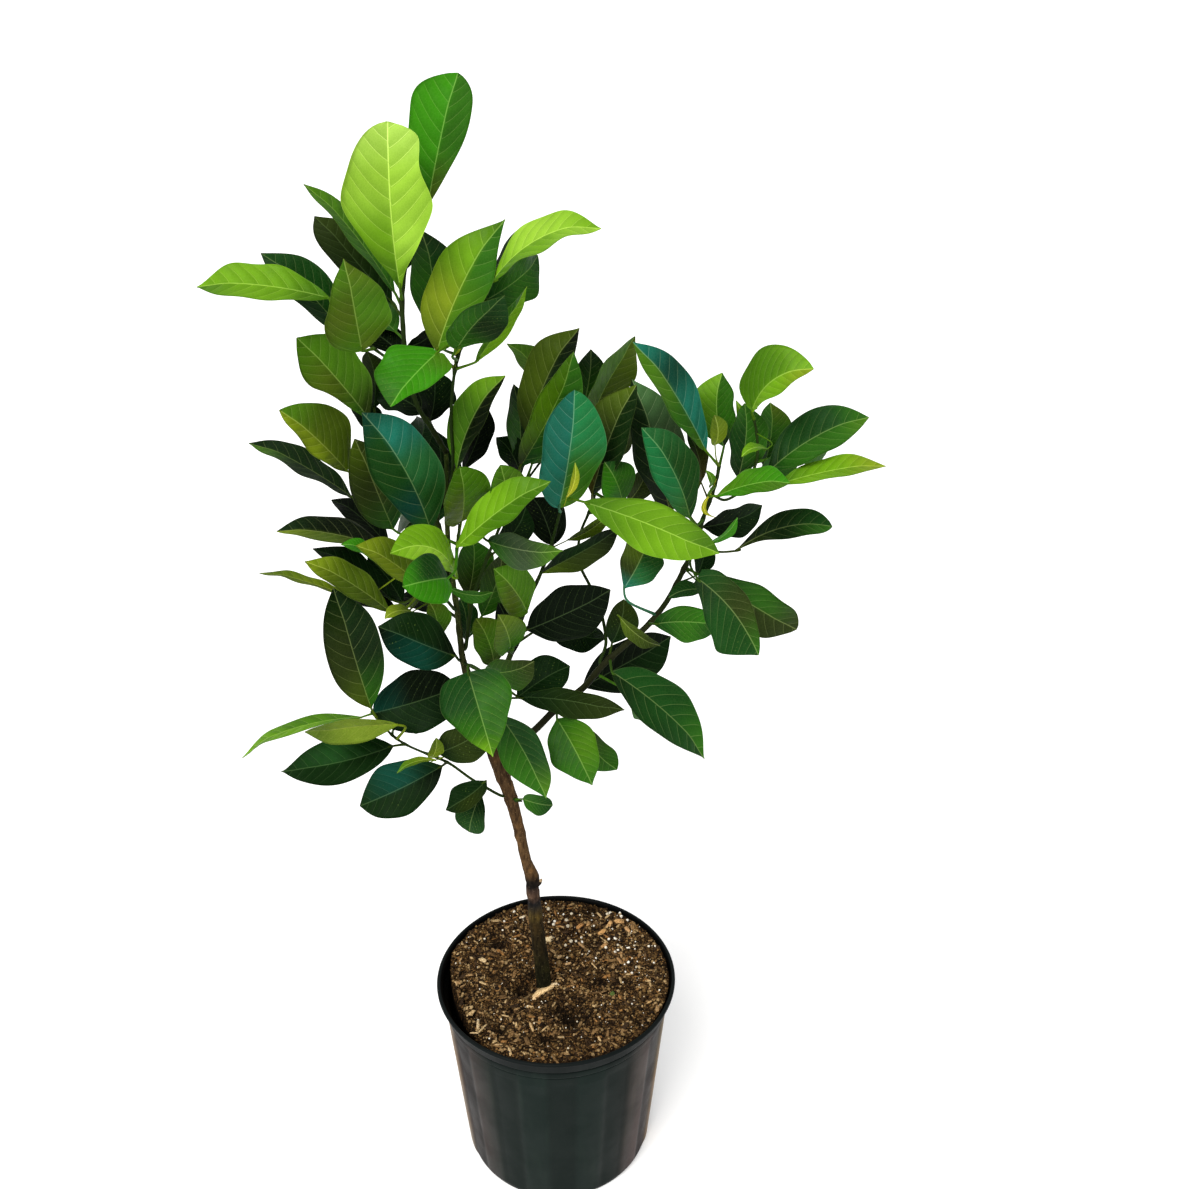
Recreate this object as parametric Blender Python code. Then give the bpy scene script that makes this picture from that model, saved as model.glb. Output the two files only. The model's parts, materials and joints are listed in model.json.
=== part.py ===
"""A grafted jackfruit sapling in a black nursery pot.

The pot stands on its base at the origin, +Z up, in metres. Sizes in the tables are millimetres.
The pot is turned, the soil fills it, the trunk stands in a plain hole in the soil, and every leafy
shoot is one body: its stem, petioles and blades joined.

The plant is drawn along the sight lines of one view. A spot is (across, down) in that view's frame,
1200 wide and 1189 high, and a depth is how far behind the pot's axis the point lies.
"""
import random
from collections import namedtuple
from math import acos, copysign, cos, pi, radians, sin, sqrt

import bmesh
import bpy
from mathutils import Matrix, Vector, noise

MM = 0.001
GAP = 0.35                      # clearance between pieces that touch

# The view that the spots belong to
VIEW_PLACE = Vector((51.5, -1122.4, 1300.0))
VIEW_TILT = radians(26.3)
VIEW_FOCAL = 1250.0
VIEW_MIDDLE = (600.0, 594.5)
VIEW_AHEAD = Vector((0.0, cos(VIEW_TILT), -sin(VIEW_TILT)))

# Pot
POT_HEIGHT = 248.0
POT_FOOT_RADIUS = 110.5         # body radius at the base
POT_TAPER = 0.09                # growth of the radius for each millimetre of height
POT_WALL = 3.2
POT_FLOOR = 3.0
POT_COLUMNS = 36
POT_FLUTES = 12                 # raised panels round the body, with as many sunk ones between
POT_FLUTE_ANGLE = radians(-70.5)    # middle of a raised panel
POT_FLUTE_DEPTH = 0.8
POT_BODY_TOP = 216.0            # where the panelled body ends below the collar
POT_COLLAR = 2.2                # how far the collar stands out from the body
POT_RIM_RADIUS = 140.0
POT_COLLAR_FOOT = 229.0         # height from which the wall stands wider, inside the collar
POT_INSIDE = ((133.6, 243.0), (132.6, 233.0))   # radius and height of the wall inside the collar

# Soil
SOIL_TOP = 242.5
SOIL_ROUGHNESS = 1.8
SOIL_SHRINK_ANGLE = radians(202.0)
SOIL_SHRINK_SPREAD = radians(38.0)
SOIL_DROP = 14.0
SOIL_BODY_TOP = 211.0           # top of the plain body below the uneven surface
SOIL_REACH = 132.3              # radius of the surface inside the collar
SOIL_SHRINK_TOP = 13.5          # how far the surface has drawn back from the collar on the left
SOIL_NECK = ((127.3, 228.8, 0.5), (131.9, 234.5, 0.9))  # radius, height, share of that shrinking
SOIL_NECK_DROP = 12.0
SOIL_RINGS = (0.3, 0.62, 0.84, 1.0)
CHIP_COUNT = 16
CHIP_SEED = 11
CHIP_PALE = ((544, 990), -16)   # spot and depth of the long pale chip
CHIP_PALE_TURN = radians(36.0)
CHIP_PALE_SIZE = (30.0, 13.0, 7.0)
CHIP_MARGIN = 22.0
CHIP_CLEAR = 26.0               # how far from the trunk the chips stay

# Trunk: spot, depth, radius
TRUNK_ROOT_DEPTH = 62.0         # how far the root end reaches below the soil's surface
TRUNK_HOLE = 1.2                # clearance of the hole round the root end
ROOTSTOCK = (
    ((544, 984), -12, 9.0), ((542, 965), -10, 8.5), ((539, 943), -8, 8.2), ((536, 922), -6, 8.0),
    ((535, 909), -5, 8.2), ((534, 900), -4, 7.2), ((533, 892), -3, 7.8), ((532, 884), -2, 7.0),
)
SCION = (
    ((533, 890), 0, 6.0), ((532, 877), 0, 8.2), ((526, 860), 2, 5.9), ((522, 842), 1, 6.0),
    ((518, 825), 0, 6.3), ((513, 806), 0, 6.8), ((508, 789), 0, 7.4), ((501, 772), 0, 7.6),
    ((494, 755), 0, 7.0), ((486, 732), 0, 6.2), ((478, 705), 0, 5.2), ((470, 682), -1, 4.3),
    ((463, 660), -2, 3.5), ((460, 637), -3, 3.2), ((457, 610), -3, 3.0), ((452, 575), -3, 2.8),
    ((448, 540), -2, 2.6), ((447, 505), -1, 2.5), ((447, 475), 0, 2.4), ((446, 452), 0, 2.3),
)
# Torn end of the rootstock beside the graft, and the dry spur above: spot, depth, radius
TORN_END = (((535, 886), -3, 3.6), ((540, 882), -5, 2.6), ((542, 879), -6, 1.2))
DEAD_SPUR = (((511, 803), 0, 2.0), ((514, 794), -3, 1.5), ((512, 780), -4, 0.9))
TRUNK_SIDES = 8
BRANCH_SIDES = 5

# Leaf sections: half width and half thickness of the petiole, half thickness at edge and midrib
PETIOLE_HALF = 1.2
BLADE_EDGE = 0.42
BLADE_MIDRIB = 0.95
STATIONS = (0.0, 0.2, 0.52, 0.84, 1.0)
SMALL_STATIONS = (0.0, 0.35, 0.75, 1.0)
SMALL_LEAF = 50.5               # leaves narrower than this get the fewer stations
TIP_HALF = 0.9
FLAT_ENOUGH = radians(0.6)      # faces that meet flatter than this are made one
LONG_PETIOLE = 34.0             # longer petioles get an elbow
PETIOLE_ELBOW = 16.0            # how far before the blade the elbow lies, at most
PETIOLE_RUN = 14.0              # how far below its blade a leaf looks for its place on the stem

# Outline of a blade: width over length s is s**rise * (1 - s)**fall, scaled to its largest value
OUTLINES = {
    "oval": (0.85, 0.72),
    "broad": (0.95, 0.55),
    "heart": (0.42, 1.0),
    "round": (0.62, 0.52),
    "slim": (0.8, 0.9),
    "club": (1.3, 0.55),
    "sharp": (0.8, 1.0),
    "spoon": (1.0, 0.5),
    "skew": (0.9, 0.7),
    "lop": (0.6, 0.72),
    "fan": (0.5, 0.6),
    "wing": (0.6, 0.6),
    "shell": (0.6, 0.72),
}

# A leaf: base and tip spots, depth of the base, how much farther back the tip lies, full width,
# width as seen (in spots, its sign says which way the face turns), fold of each half towards the
# upper face in degrees, bulge of the midrib towards the upper face and to the right as seen,
# outline, and whether the underside is seen
Leaf = namedtuple("Leaf", "base tip depth lean wide shown fold arch bow form under")


def leaf(base, tip, depth, lean, wide, shown, fold=12, arch=5, bow=0, form="oval", under=False):
    return Leaf(base, tip, depth, lean, wide, shown, fold, arch, bow, form, under)


# A shoot: the piece that carries it, its stem as (spot, depth), stem radii at foot and end, leaves
Shoot = namedtuple("Shoot", "parent stem foot end leaves")

SHOOTS = {
    "shoot_leader": Shoot("tip", (
        ((446, 451), 0), ((432, 429), -6), ((418, 407), -10), ((408, 375), -14), ((404, 340), -16),
        ((402, 300), -16), ((405, 266), -10)), 2.4, 2.0, (
        leaf((400, 288), (388, 121), -34, -8, 76, 88, form="spoon", arch=8, bow=-4),
        leaf((427, 210), (456, 71), -2, 14, 64, -62, form="club", fold=24, bow=1),
        leaf((395, 293), (306, 181), -6, 8, 36, 22, fold=12),
        leaf((392, 303), (316, 213), 20, 25, 58, 46, bow=-4),
        leaf((408, 346), (438, 326), 4, 4, 28, 20),
        leaf((402, 272), (389, 186), 22, 66, 52, 40),
        leaf((396, 332), (350, 302), 30, 60, 48, 36),
        leaf((402, 356), (366, 330), 22, 30, 36, 30),
        leaf((425, 414), (378, 391), 16, 14, 50, 38),
        leaf((430, 421), (433, 368), 16, 14, 44, 36),
    )),
    "shoot_upper_left": Shoot("shoot_leader", (
        ((411, 384), -12), ((396, 366), -22), ((372, 347), -24), ((350, 328), -25), ((334, 313), -25)),
        1.7, 1.1, (
        leaf((362, 351), (346, 261), -46, -36, 62, 67, form="sharp", bow=-2),
        leaf((329, 298), (195, 284), -30, 0, 44, 36, fold=14, arch=7),
        leaf((344, 334), (262, 250), 0, 12, 54, 42),
    )),
    "shoot_mid_left": Shoot("trunk", (
        ((449, 545), 0), ((436, 520), 10), ((415, 490), 16), ((398, 460), 20), ((384, 436), 20),
        ((374, 420), 18)), 2.0, 1.2, (
        leaf((369, 419), (298, 337), 0, -20, 62, 62, form="skew"),
        leaf((393, 529), (357, 439), -4, -14, 58, 54, bow=-3),
        leaf((347, 471), (281, 409), 2, -26, 56, 52, fold=8, form="lop"),
        leaf((352, 497), (250, 439), 34, 4, 44, 24, fold=12, bow=-1),
        leaf((374, 408), (368, 350), 40, 20, 40, 30),
        leaf((438, 512), (438, 430), 26, 10, 44, 34),
        leaf((378, 438), (352, 402), 28, 10, 32, 24),
    )),
    "shoot_low_left_mid": Shoot("trunk", (
        ((458, 617), -3), ((441, 606), 10), ((421, 592), 15), ((401, 574), 18), ((388, 557), 18)),
        1.8, 1.1, (
        leaf((375, 560), (341, 543), -12, -6, 22, 13),
        leaf((384, 548), (276, 529), 14, 4, 44, 26, fold=16, bow=1),
        leaf((388, 546), (332, 497), 50, 24, 42, 26),
        leaf((392, 600), (314, 545), 32, 6, 42, 24),
        leaf((389, 611), (306, 559), -2, -10, 40, 30),
        leaf((352, 597), (260, 569), 14, 0, 20, 9, bow=-3),
        leaf((402, 602), (368, 556), 50, 16, 38, 30),
        leaf((412, 612), (384, 618), -14, -14, 20, 12),
        leaf((436, 612), (396, 596), 66, 24, 36, 24),
        leaf((396, 612), (353, 599), 24, 10, 28, 18),
        leaf((427, 596), (436, 546), 34, 12, 40, 32),
    )),
    "shoot_front": Shoot("trunk", (
        ((457, 607), -3), ((449, 603), -16), ((442, 594), -24), ((449, 581), -30), ((455, 562), -32),
        ((458, 540), -34), ((459, 524), -34)), 1.8, 1.0, (
        leaf((448, 578), (404, 586), -96, -52, 48, 52, form="round"),
        leaf((457, 578), (390, 552), -62, -30, 48, 38, bow=14, fold=8),
        leaf((425, 590), (358, 543), -40, -20, 46, 32, fold=18),
        leaf((448, 587), (493, 594), -44, -15, 22, 12, fold=14),
        leaf((457, 547), (548, 479), -64, -14, 46, -36, fold=14),
        leaf((461, 522), (461, 468), -26, -44, 52, 46, form="round"),
        leaf((431, 532), (364, 412), -40, -8, 66, 66, bow=5),
    )),
    "shoot_top_centre": Shoot("trunk", (
        ((448, 497), -1), ((452, 480), -10), ((453, 455), -13), ((451, 420), -13), ((453, 385), -12),
        ((457, 360), -8), ((466, 335), 0), ((478, 311), 5), ((486, 293), 6)), 1.9, 1.1, (
        leaf((438, 352), (389, 405), -36, -44, 60, 58, form="fan", bow=-1),
        leaf((437, 352), (503, 217), -18, 14, 60, -60, fold=14, bow=-4, form="sharp"),
        leaf((492, 282), (601, 223), -26, -8, 48, -30, fold=10, bow=-9),
        leaf((486, 300), (541, 256), 6, 36, 50, 42),
        leaf((480, 303), (528, 226), 34, 16, 46, 34),
        leaf((457, 349), (505, 298), -52, -34, 52, 43, bow=-7),
        leaf((476, 362), (530, 289), -30, 8, 32, 16, fold=8, bow=-5, form="slim"),
        leaf((453, 356), (454, 337), -34, -2, 8, 7),
        leaf((436, 335), (424, 229), 40, 12, 56, 50),
        leaf((457, 468), (503, 374), -14, 4, 44, -34, fold=24, bow=-4),
        leaf((472, 326), (466, 268), 44, 70, 50, 34),
        leaf((463, 470), (486, 402), 8, 12, 32, 24),
    )),
    "shoot_centre_back": Shoot("trunk", (
        ((461, 648), -3), ((472, 602), 8), ((484, 566), 10), ((494, 541), 8), ((507, 508), 6),
        ((517, 480), 6), ((525, 456), 6)), 2.0, 1.2, (
        leaf((520, 467), (577, 354), -6, -2, 50, 42, fold=14),
        leaf((527, 436), (576, 326), 20, 8, 54, -44, fold=14, bow=-2),
        leaf((550, 392), (508, 341), 56, 14, 42, 28, form="sharp"),
        leaf((522, 470), (517, 384), 34, 10, 46, 32, bow=-3),
        leaf((505, 520), (502, 466), -20, -30, 42, 38, form="round"),
        leaf((488, 541), (562, 553), -50, -30, 42, 34, form="sharp"),
        leaf((520, 474), (497, 436), 18, 6, 34, 26),
        leaf((500, 548), (527, 508), 12, 2, 36, 30),
        leaf((468, 596), (474, 538), 30, 22, 46, 38),
        leaf((482, 616), (504, 554), 30, 24, 42, 34),
        leaf((466, 640), (461, 598), 18, 12, 28, 22),
    )),
    "shoot_centre": Shoot("trunk", (
        ((484, 718), 0), ((497, 690), -6), ((507, 662), -8), ((517, 635), -9), ((526, 605), -9),
        ((540, 575), -8), ((551, 545), -9), ((558, 520), -11), ((562, 505), -12)), 2.9, 1.3, (
        leaf((559, 508), (576, 391), -34, -14, 64, 62, form="round"),
        leaf((567, 497), (576, 463), -50, -8, 9, 8),
        leaf((584, 502), (719, 557), -50, -20, 54, 50, bow=-6),
        leaf((553, 545), (533, 496), 18, 34, 46, 40, form="round"),
        leaf((527, 612), (496, 569), -20, -32, 48, 42),
        leaf((510, 650), (500, 616), -42, -36, 40, 36),
        leaf((527, 630), (611, 591), -8, -4, 58, 54),
        leaf((548, 622), (606, 640), 42, 8, 44, 30),
        leaf((541, 573), (620, 530), -8, -4, 40, 26, fold=14, bow=-3),
        leaf((568, 540), (612, 511), -2, -4, 18, 13),
        leaf((517, 698), (570, 665), -10, 20, 50, -42),
        leaf((518, 697), (624, 714), -26, -6, 40, 28, bow=-8),
        leaf((500, 716), (545, 800), -44, -30, 54, 44, bow=-7, form="sharp"),
        leaf((550, 622), (588, 602), 60, 62, 46, 32),
        leaf((498, 684), (480, 704), 30, 80, 50, 34),
        leaf((494, 664), (477, 618), -14, 2, 42, 34, form="round"),
        leaf((512, 656), (499, 602), 20, 14, 34, 26),
    )),
    "shoot_spur": Shoot("trunk", (
        ((464, 662), -2), ((470, 666), -14), ((478, 670), -22), ((484, 673), -26)), 1.7, 1.4, (
        leaf((468, 672), (493, 757), -70, -52, 70, 76, form="heart", fold=8),
        leaf((487, 672), (534, 663), -32, -24, 46, 32),
    )),
    "shoot_spur_left": Shoot("trunk", (
        ((463, 658), -2), ((452, 651), -12), ((441, 642), -18)), 1.6, 1.1, (
        leaf((455, 656), (379, 625), -36, -18, 58, 54, bow=-3),
        leaf((438, 638), (430, 601), -14, -4, 32, 26),
    )),
    "shoot_right": Shoot("trunk", (
        ((499, 765), 0), ((515, 748), -2), ((537, 728), -4), ((560, 705), -6), ((583, 688), -6),
        ((602, 666), -6), ((624, 646), -4), ((647, 626), -2), ((667, 601), 0), ((684, 569), 2),
        ((694, 548), 4), ((700, 528), 6), ((705, 513), 6)), 4.4, 2.0, (
        leaf((557, 719), (592, 786), -20, -44, 54, 50, bow=-3, form="sharp"),
        leaf((572, 722), (617, 771), 0, -6, 46, 34),
        leaf((612, 672), (709, 758), -36, -26, 60, -50, bow=-3, form="sharp"),
        leaf((583, 687), (672, 638), 26, 12, 60, 50, bow=-2),
        leaf((612, 643), (625, 599), 8, 12, 38, 31),
        leaf((620, 617), (660, 647), -24, -10, 24, 15),
        leaf((624, 588), (648, 540), -22, 30, 48, 44, form="broad"),
        leaf((654, 624), (722, 626), -22, -16, 44, 36, bow=-6),
        leaf((697, 578), (758, 656), -44, -34, 60, 58, bow=-9, form="wing"),
        leaf((705, 578), (797, 632), 0, -4, 54, 46, bow=-3, form="round"),
        leaf((705, 590), (668, 597), -18, -6, 22, 16),
        leaf((735, 551), (833, 525), -6, 0, 38, -30, fold=12, bow=-7, form="club"),
        leaf((703, 527), (764, 507), 26, 4, 42, 30),
        leaf((697, 575), (704, 540), 18, 20, 28, 22),
        leaf((708, 543), (738, 518), -22, -6, 16, 8),
        leaf((690, 518), (644, 427), -26, -12, 52, 46, bow=3),
        leaf((670, 515), (635, 379), 20, 4, 60, 52, fold=12),
        leaf((686, 506), (667, 440), 46, 66, 50, 34),
        leaf((632, 693), (672, 712), 10, 76, 48, 34),
    )),
    "shoot_right_mid": Shoot("shoot_right", (
        ((603, 665), -6), ((606, 642), 6), ((601, 612), 12), ((591, 588), 14), ((579, 562), 14),
        ((580, 535), 14), ((589, 512), 12), ((595, 492), 12), ((593, 468), 15), ((590, 446), 18)),
        1.9, 1.1, (
        leaf((592, 495), (634, 384), -10, -4, 56, -44),
        leaf((622, 502), (605, 462), -22, -14, 42, 38),
        leaf((590, 425), (638, 339), 36, 8, 56, 34, bow=-9),
        leaf((580, 420), (592, 349), 64, 12, 38, 34),
        leaf((628, 502), (648, 466), 36, 10, 30, 24),
        leaf((602, 462), (618, 402), 54, 66, 50, 34),
    )),
    "shoot_right_crown": Shoot("tip:shoot_right", (
        ((705, 512), 6), ((712, 495), 4), ((717, 478), 2), ((719, 466), 0)), 2.0, 1.1, (
        leaf((706, 451), (637, 340), -10, -14, 46, 36, fold=14),
        leaf((724, 446), (721, 372), 26, 14, 50, -43, fold=16, bow=-3),
        leaf((715, 445), (715, 415), -26, -8, 19, 17, form="round"),
        leaf((701, 482), (688, 432), 18, 6, 24, 16),
        leaf((717, 496), (790, 480), -34, -16, 38, -26, form="broad"),
        leaf((711, 494), (715, 518), -8, -4, 6, 5, bow=6),
        leaf((710, 487), (706, 470), -8, -4, 9, 7),
    )),
    "shoot_far_right": Shoot("shoot_right_crown", (
        ((712, 496), 4), ((725, 500), 12), ((738, 493), 14), ((750, 478), 12), ((757, 458), 8),
        ((757, 436), 6), ((754, 419), 4)), 1.5, 1.1, (
        leaf((752, 411), (813, 367), -4, -26, 54, -50, bow=-9, form="shell"),
        leaf((738, 478), (746, 403), 10, 14, 50, 38),
        leaf((764, 466), (772, 402), 40, 12, 46, 36),
        leaf((768, 472), (869, 415), 4, 4, 56, -46, bow=-4),
        leaf((776, 485), (886, 463), -20, -10, 36, -22, bow=1),
        leaf((767, 449), (741, 456), -34, -10, 15, 9),
        leaf((737, 432), (737, 400), 26, 0, 10, 8),
        leaf((792, 452), (836, 432), 44, 56, 46, 30),
        leaf((750, 488), (796, 446), 24, 10, 40, 30),
    )),
    "shoot_low_left": Shoot("trunk", (
        ((502, 793), 0), ((485, 787), -14), ((470, 778), -18), ((452, 765), -20), ((438, 758), -22),
        ((420, 751), -20), ((405, 744), -17), ((392, 735), -15), ((380, 722), -13), ((372, 712), -11)),
        1.7, 1.0, (
        leaf((373, 713), (458, 687), 0, 24, 66, 64, bow=2, form="round"),
        leaf((371, 708), (336, 589), -14, 4, 62, 57, bow=-3),
        leaf((362, 717), (238, 753), -16, -8, 30, 13, fold=8, bow=4),
        leaf((398, 725), (305, 735), -36, -16, 44, 25, bow=6, under=True),
        leaf((393, 746), (279, 770), -16, -4, 54, 46, bow=-7, form="sharp"),
        leaf((442, 766), (359, 806), -36, -20, 58, 54, bow=-3),
        leaf((436, 760), (396, 772), -52, -18, 14, 7),
        leaf((430, 758), (437, 738), -34, -4, 18, 14),
        leaf((437, 753), (488, 727), -22, -2, 50, 40),
        leaf((486, 781), (445, 809), -28, -24, 38, 27, bow=-6),
        leaf((482, 789), (468, 833), -12, -20, 40, 33, bow=-1, form="club"),
        leaf((398, 724), (424, 698), 20, 66, 50, 32),
    )),
    "shoot_back_left": Shoot("trunk", (
        ((450, 556), -3), ((446, 548), 22), ((438, 530), 52), ((428, 508), 82), ((418, 484), 112),
        ((410, 462), 136)), 1.9, 1.1, (
        leaf((413, 468), (392, 430), 132, 56, 52, 34),
        leaf((424, 500), (398, 522), 92, 66, 50, 32),
        leaf((437, 522), (441, 442), 68, 44, 50, 34),
        leaf((434, 528), (404, 560), 56, 84, 50, 32),
        leaf((411, 458), (425, 418), 136, 36, 50, 34),
        leaf((420, 488), (378, 474), 106, 30, 48, 30),
    )),
    "shoot_back_right": Shoot("shoot_centre_back", (
        ((510, 499), 6), ((515, 496), 34), ((530, 476), 66), ((548, 452), 96), ((560, 437), 120)),
        1.5, 1.1, (
        leaf((546, 448), (553, 400), 92, 40, 52, 36),
        leaf((562, 434), (586, 412), 120, 56, 50, 30),
        leaf((556, 446), (576, 478), 102, 62, 50, 32),
        leaf((532, 464), (522, 428), 62, 86, 50, 32),
    )),
    "shoot_low_right": Shoot("trunk", (
        ((509, 797), 0), ((516, 801), -8), ((522, 801), -10)), 1.3, 1.1, (
        leaf((523, 799), (553, 806), -12, -8, 28, 20, bow=-2, form="round"),
    )),
}


def sight(spot, depth):
    """Point on the sight line of a spot, `depth` behind the pot's axis."""
    across = (spot[0] - VIEW_MIDDLE[0]) / VIEW_FOCAL
    down = (spot[1] - VIEW_MIDDLE[1]) / VIEW_FOCAL
    ray = Vector((across,
                  cos(VIEW_TILT) - sin(VIEW_TILT) * down,
                  -sin(VIEW_TILT) - cos(VIEW_TILT) * down))
    return VIEW_PLACE + ray * ((depth - VIEW_PLACE.y) / ray.y)


def smooth_route(knots, steps):
    """Points of a smooth curve through the knots, `steps` to each stretch."""
    ends = [knots[0] * 2 - knots[1]] + list(knots) + [knots[-1] * 2 - knots[-2]]
    points = []
    for a, b, c, d in zip(ends, ends[1:], ends[2:], ends[3:]):
        for step in range(steps):
            t = step / steps
            points.append((b * 2 + (c - a) * t + (a * 2 - b * 5 + c * 4 - d) * t * t
                           + (b * 3 - a - c * 3 + d) * t * t * t) * 0.5)
    points.append(knots[-1].copy())
    return points


def tangents(points):
    """Direction of travel at each point of a route."""
    out = []
    for i in range(len(points)):
        out.append((points[min(i + 1, len(points) - 1)] - points[max(i - 1, 0)]).normalized())
    return out


def mesh_object(name, verts, faces):
    """Object from points in millimetres and faces."""
    mesh = bpy.data.meshes.new(name)
    mesh.from_pydata([tuple(v * MM) for v in verts], [], faces)
    mesh.update()
    obj = bpy.data.objects.new(name, mesh)
    bpy.context.scene.collection.objects.link(obj)
    return obj


def loft(name, rings):
    """Closed solid over rings of equal count; caps and side are split into triangles."""
    count = len(rings[0])
    verts = [point for ring in rings for point in ring]
    faces = []
    for row in range(len(rings) - 1):
        for k in range(count):
            a = row * count + k
            b = row * count + (k + 1) % count
            faces += [(a, b, b + count), (a, b + count, a + count)]
    last = (len(rings) - 1) * count
    for k in range(1, count - 1):
        faces.append((0, k + 1, k))
        faces.append((last, last + k, last + k + 1))
    return mesh_object(name, verts, faces)


def tube(name, points, radii, sides, first=None):
    """Round tube along a route; `first` turns the plane of the foot's ring."""
    ways = tangents(points)
    if first is not None:
        ways[0] = first
    across = ways[0].orthogonal().normalized()
    rings = []
    for point, way, radius in zip(points, ways, radii):
        across = (across - way * across.dot(way)).normalized()
        up = way.cross(across)
        rings.append([point + across * (radius * cos(2 * pi * k / sides))
                      + up * (radius * sin(2 * pi * k / sides)) for k in range(sides)])
    return loft(name, rings)


def keep_largest_body(mesh):
    """Drop loose scraps and sealed hollows that joining leaves behind."""
    bm = bmesh.new()
    bm.from_mesh(mesh)
    bmesh.ops.dissolve_degenerate(bm, dist=1e-7, edges=bm.edges)
    unseen = set(bm.verts)
    bodies = []
    while unseen:
        stack = [unseen.pop()]
        body = [stack[0]]
        while stack:
            for edge in stack.pop().link_edges:
                for vert in edge.verts:
                    if vert in unseen:
                        unseen.remove(vert)
                        body.append(vert)
                        stack.append(vert)
        bodies.append(body)
    bodies.sort(key=len, reverse=True)
    for body in bodies[1:]:
        bmesh.ops.delete(bm, geom=body, context="VERTS")
    bmesh.ops.dissolve_limit(bm, angle_limit=FLAT_ENOUGH, verts=bm.verts, edges=bm.edges)
    bmesh.ops.triangulate(bm, faces=bm.faces)
    bm.to_mesh(mesh)
    bm.free()


def join_all(name, pieces):
    """One body from overlapping pieces, by one union on their collection."""
    body = pieces[0]
    body.name = name
    body.data.name = name
    others = bpy.data.collections.new(name + "_pieces")
    bpy.context.scene.collection.children.link(others)
    for piece in pieces[1:]:
        bpy.context.scene.collection.objects.unlink(piece)
        others.objects.link(piece)
    union = body.modifiers.new("join", "BOOLEAN")
    union.operation = "UNION"
    union.operand_type = "COLLECTION"
    union.collection = others
    union.solver = "MANIFOLD"
    graph = bpy.context.evaluated_depsgraph_get()
    joined = bpy.data.meshes.new_from_object(body.evaluated_get(graph))
    body.modifiers.clear()
    body.data = joined
    for piece in pieces[1:]:
        bpy.data.objects.remove(piece)
    bpy.data.collections.remove(others)
    keep_largest_body(body.data)
    return body


def material(name, colour, roughness):
    mat = bpy.data.materials.new(name)
    mat.use_nodes = True
    shader = mat.node_tree.nodes["Principled BSDF"]
    shader.inputs["Base Color"].default_value = (*colour, 1.0)
    shader.inputs["Roughness"].default_value = roughness
    shader.inputs["Metallic"].default_value = 0.0
    return mat


def finish(obj, mat):
    """Smooth shading, and the piece's own material."""
    obj.data.materials.clear()
    obj.data.materials.append(mat)
    obj.data.shade_smooth()
    obj.data.set_sharp_from_angle(angle=radians(35))
    return obj


def pot_radius(height):
    return POT_FOOT_RADIUS + POT_TAPER * height


def pot_ring(radius, height, flute):
    """Ring of the pot; `flute` moves its panels out and in by turns."""
    ring = []
    for k in range(POT_COLUMNS):
        angle = 2 * pi * (k + 0.5) / POT_COLUMNS
        reach = radius + flute * cos(POT_FLUTES * (angle - POT_FLUTE_ANGLE))
        ring.append(Vector((reach * cos(angle), reach * sin(angle), height)))
    return ring


def pot():
    collar = pot_radius(POT_BODY_TOP) + POT_COLLAR
    outer = [
        pot_ring(POT_FOOT_RADIUS - 7.0, 0.0, 0.0),
        pot_ring(POT_FOOT_RADIUS - 1.6, 1.6, 0.0),
        pot_ring(pot_radius(14.0), 14.0, POT_FLUTE_DEPTH),
        pot_ring(pot_radius(POT_BODY_TOP - 16.0), POT_BODY_TOP - 16.0, POT_FLUTE_DEPTH),
        pot_ring(pot_radius(POT_BODY_TOP), POT_BODY_TOP, 0.0),
        pot_ring(collar, 219.0, 0.0),
        pot_ring(collar + 0.3, 227.0, 0.0),
        pot_ring(collar - 1.4, 228.5, 0.0),
        pot_ring(collar + 2.6, 230.4, 0.0),
        pot_ring(collar + 4.2, 243.0, 0.0),
        pot_ring(POT_RIM_RADIUS, 244.6, 0.0),
        pot_ring(POT_RIM_RADIUS - 0.8, 247.6, 0.0),
        pot_ring(POT_RIM_RADIUS - 2.6, POT_HEIGHT, 0.0),
        pot_ring(POT_RIM_RADIUS - 4.4, 247.0, 0.0),
    ]
    inner = [pot_ring(radius, height, 0.0) for radius, height in POT_INSIDE]
    inner += [pot_ring(pot_radius(h) - POT_WALL, h, 0.0) for h in (POT_COLLAR_FOOT, 150.0, POT_FLOOR + 1.0)]
    floor = [pot_ring(POT_FOOT_RADIUS - POT_WALL - 4.0, POT_FLOOR, 0.0)]
    return finish(loft("pot", outer + inner + floor), material("pot_plastic", (0.012, 0.013, 0.014), 0.5))


def shrink_at(angle):
    """How far the soil has drawn back from the wall, 0 to 1, at an angle."""
    away = abs((angle - SOIL_SHRINK_ANGLE + pi) % (2 * pi) - pi)
    return max(0.0, cos(min(1.0, away / SOIL_SHRINK_SPREAD) * pi / 2))


def soil_height(x, y):
    lumps = noise.noise(Vector((x, y, 0.0)) * 0.028) + 0.6 * noise.noise(Vector((x, y, 9.0)) * 0.075)
    return SOIL_TOP + SOIL_ROUGHNESS * lumps


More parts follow.
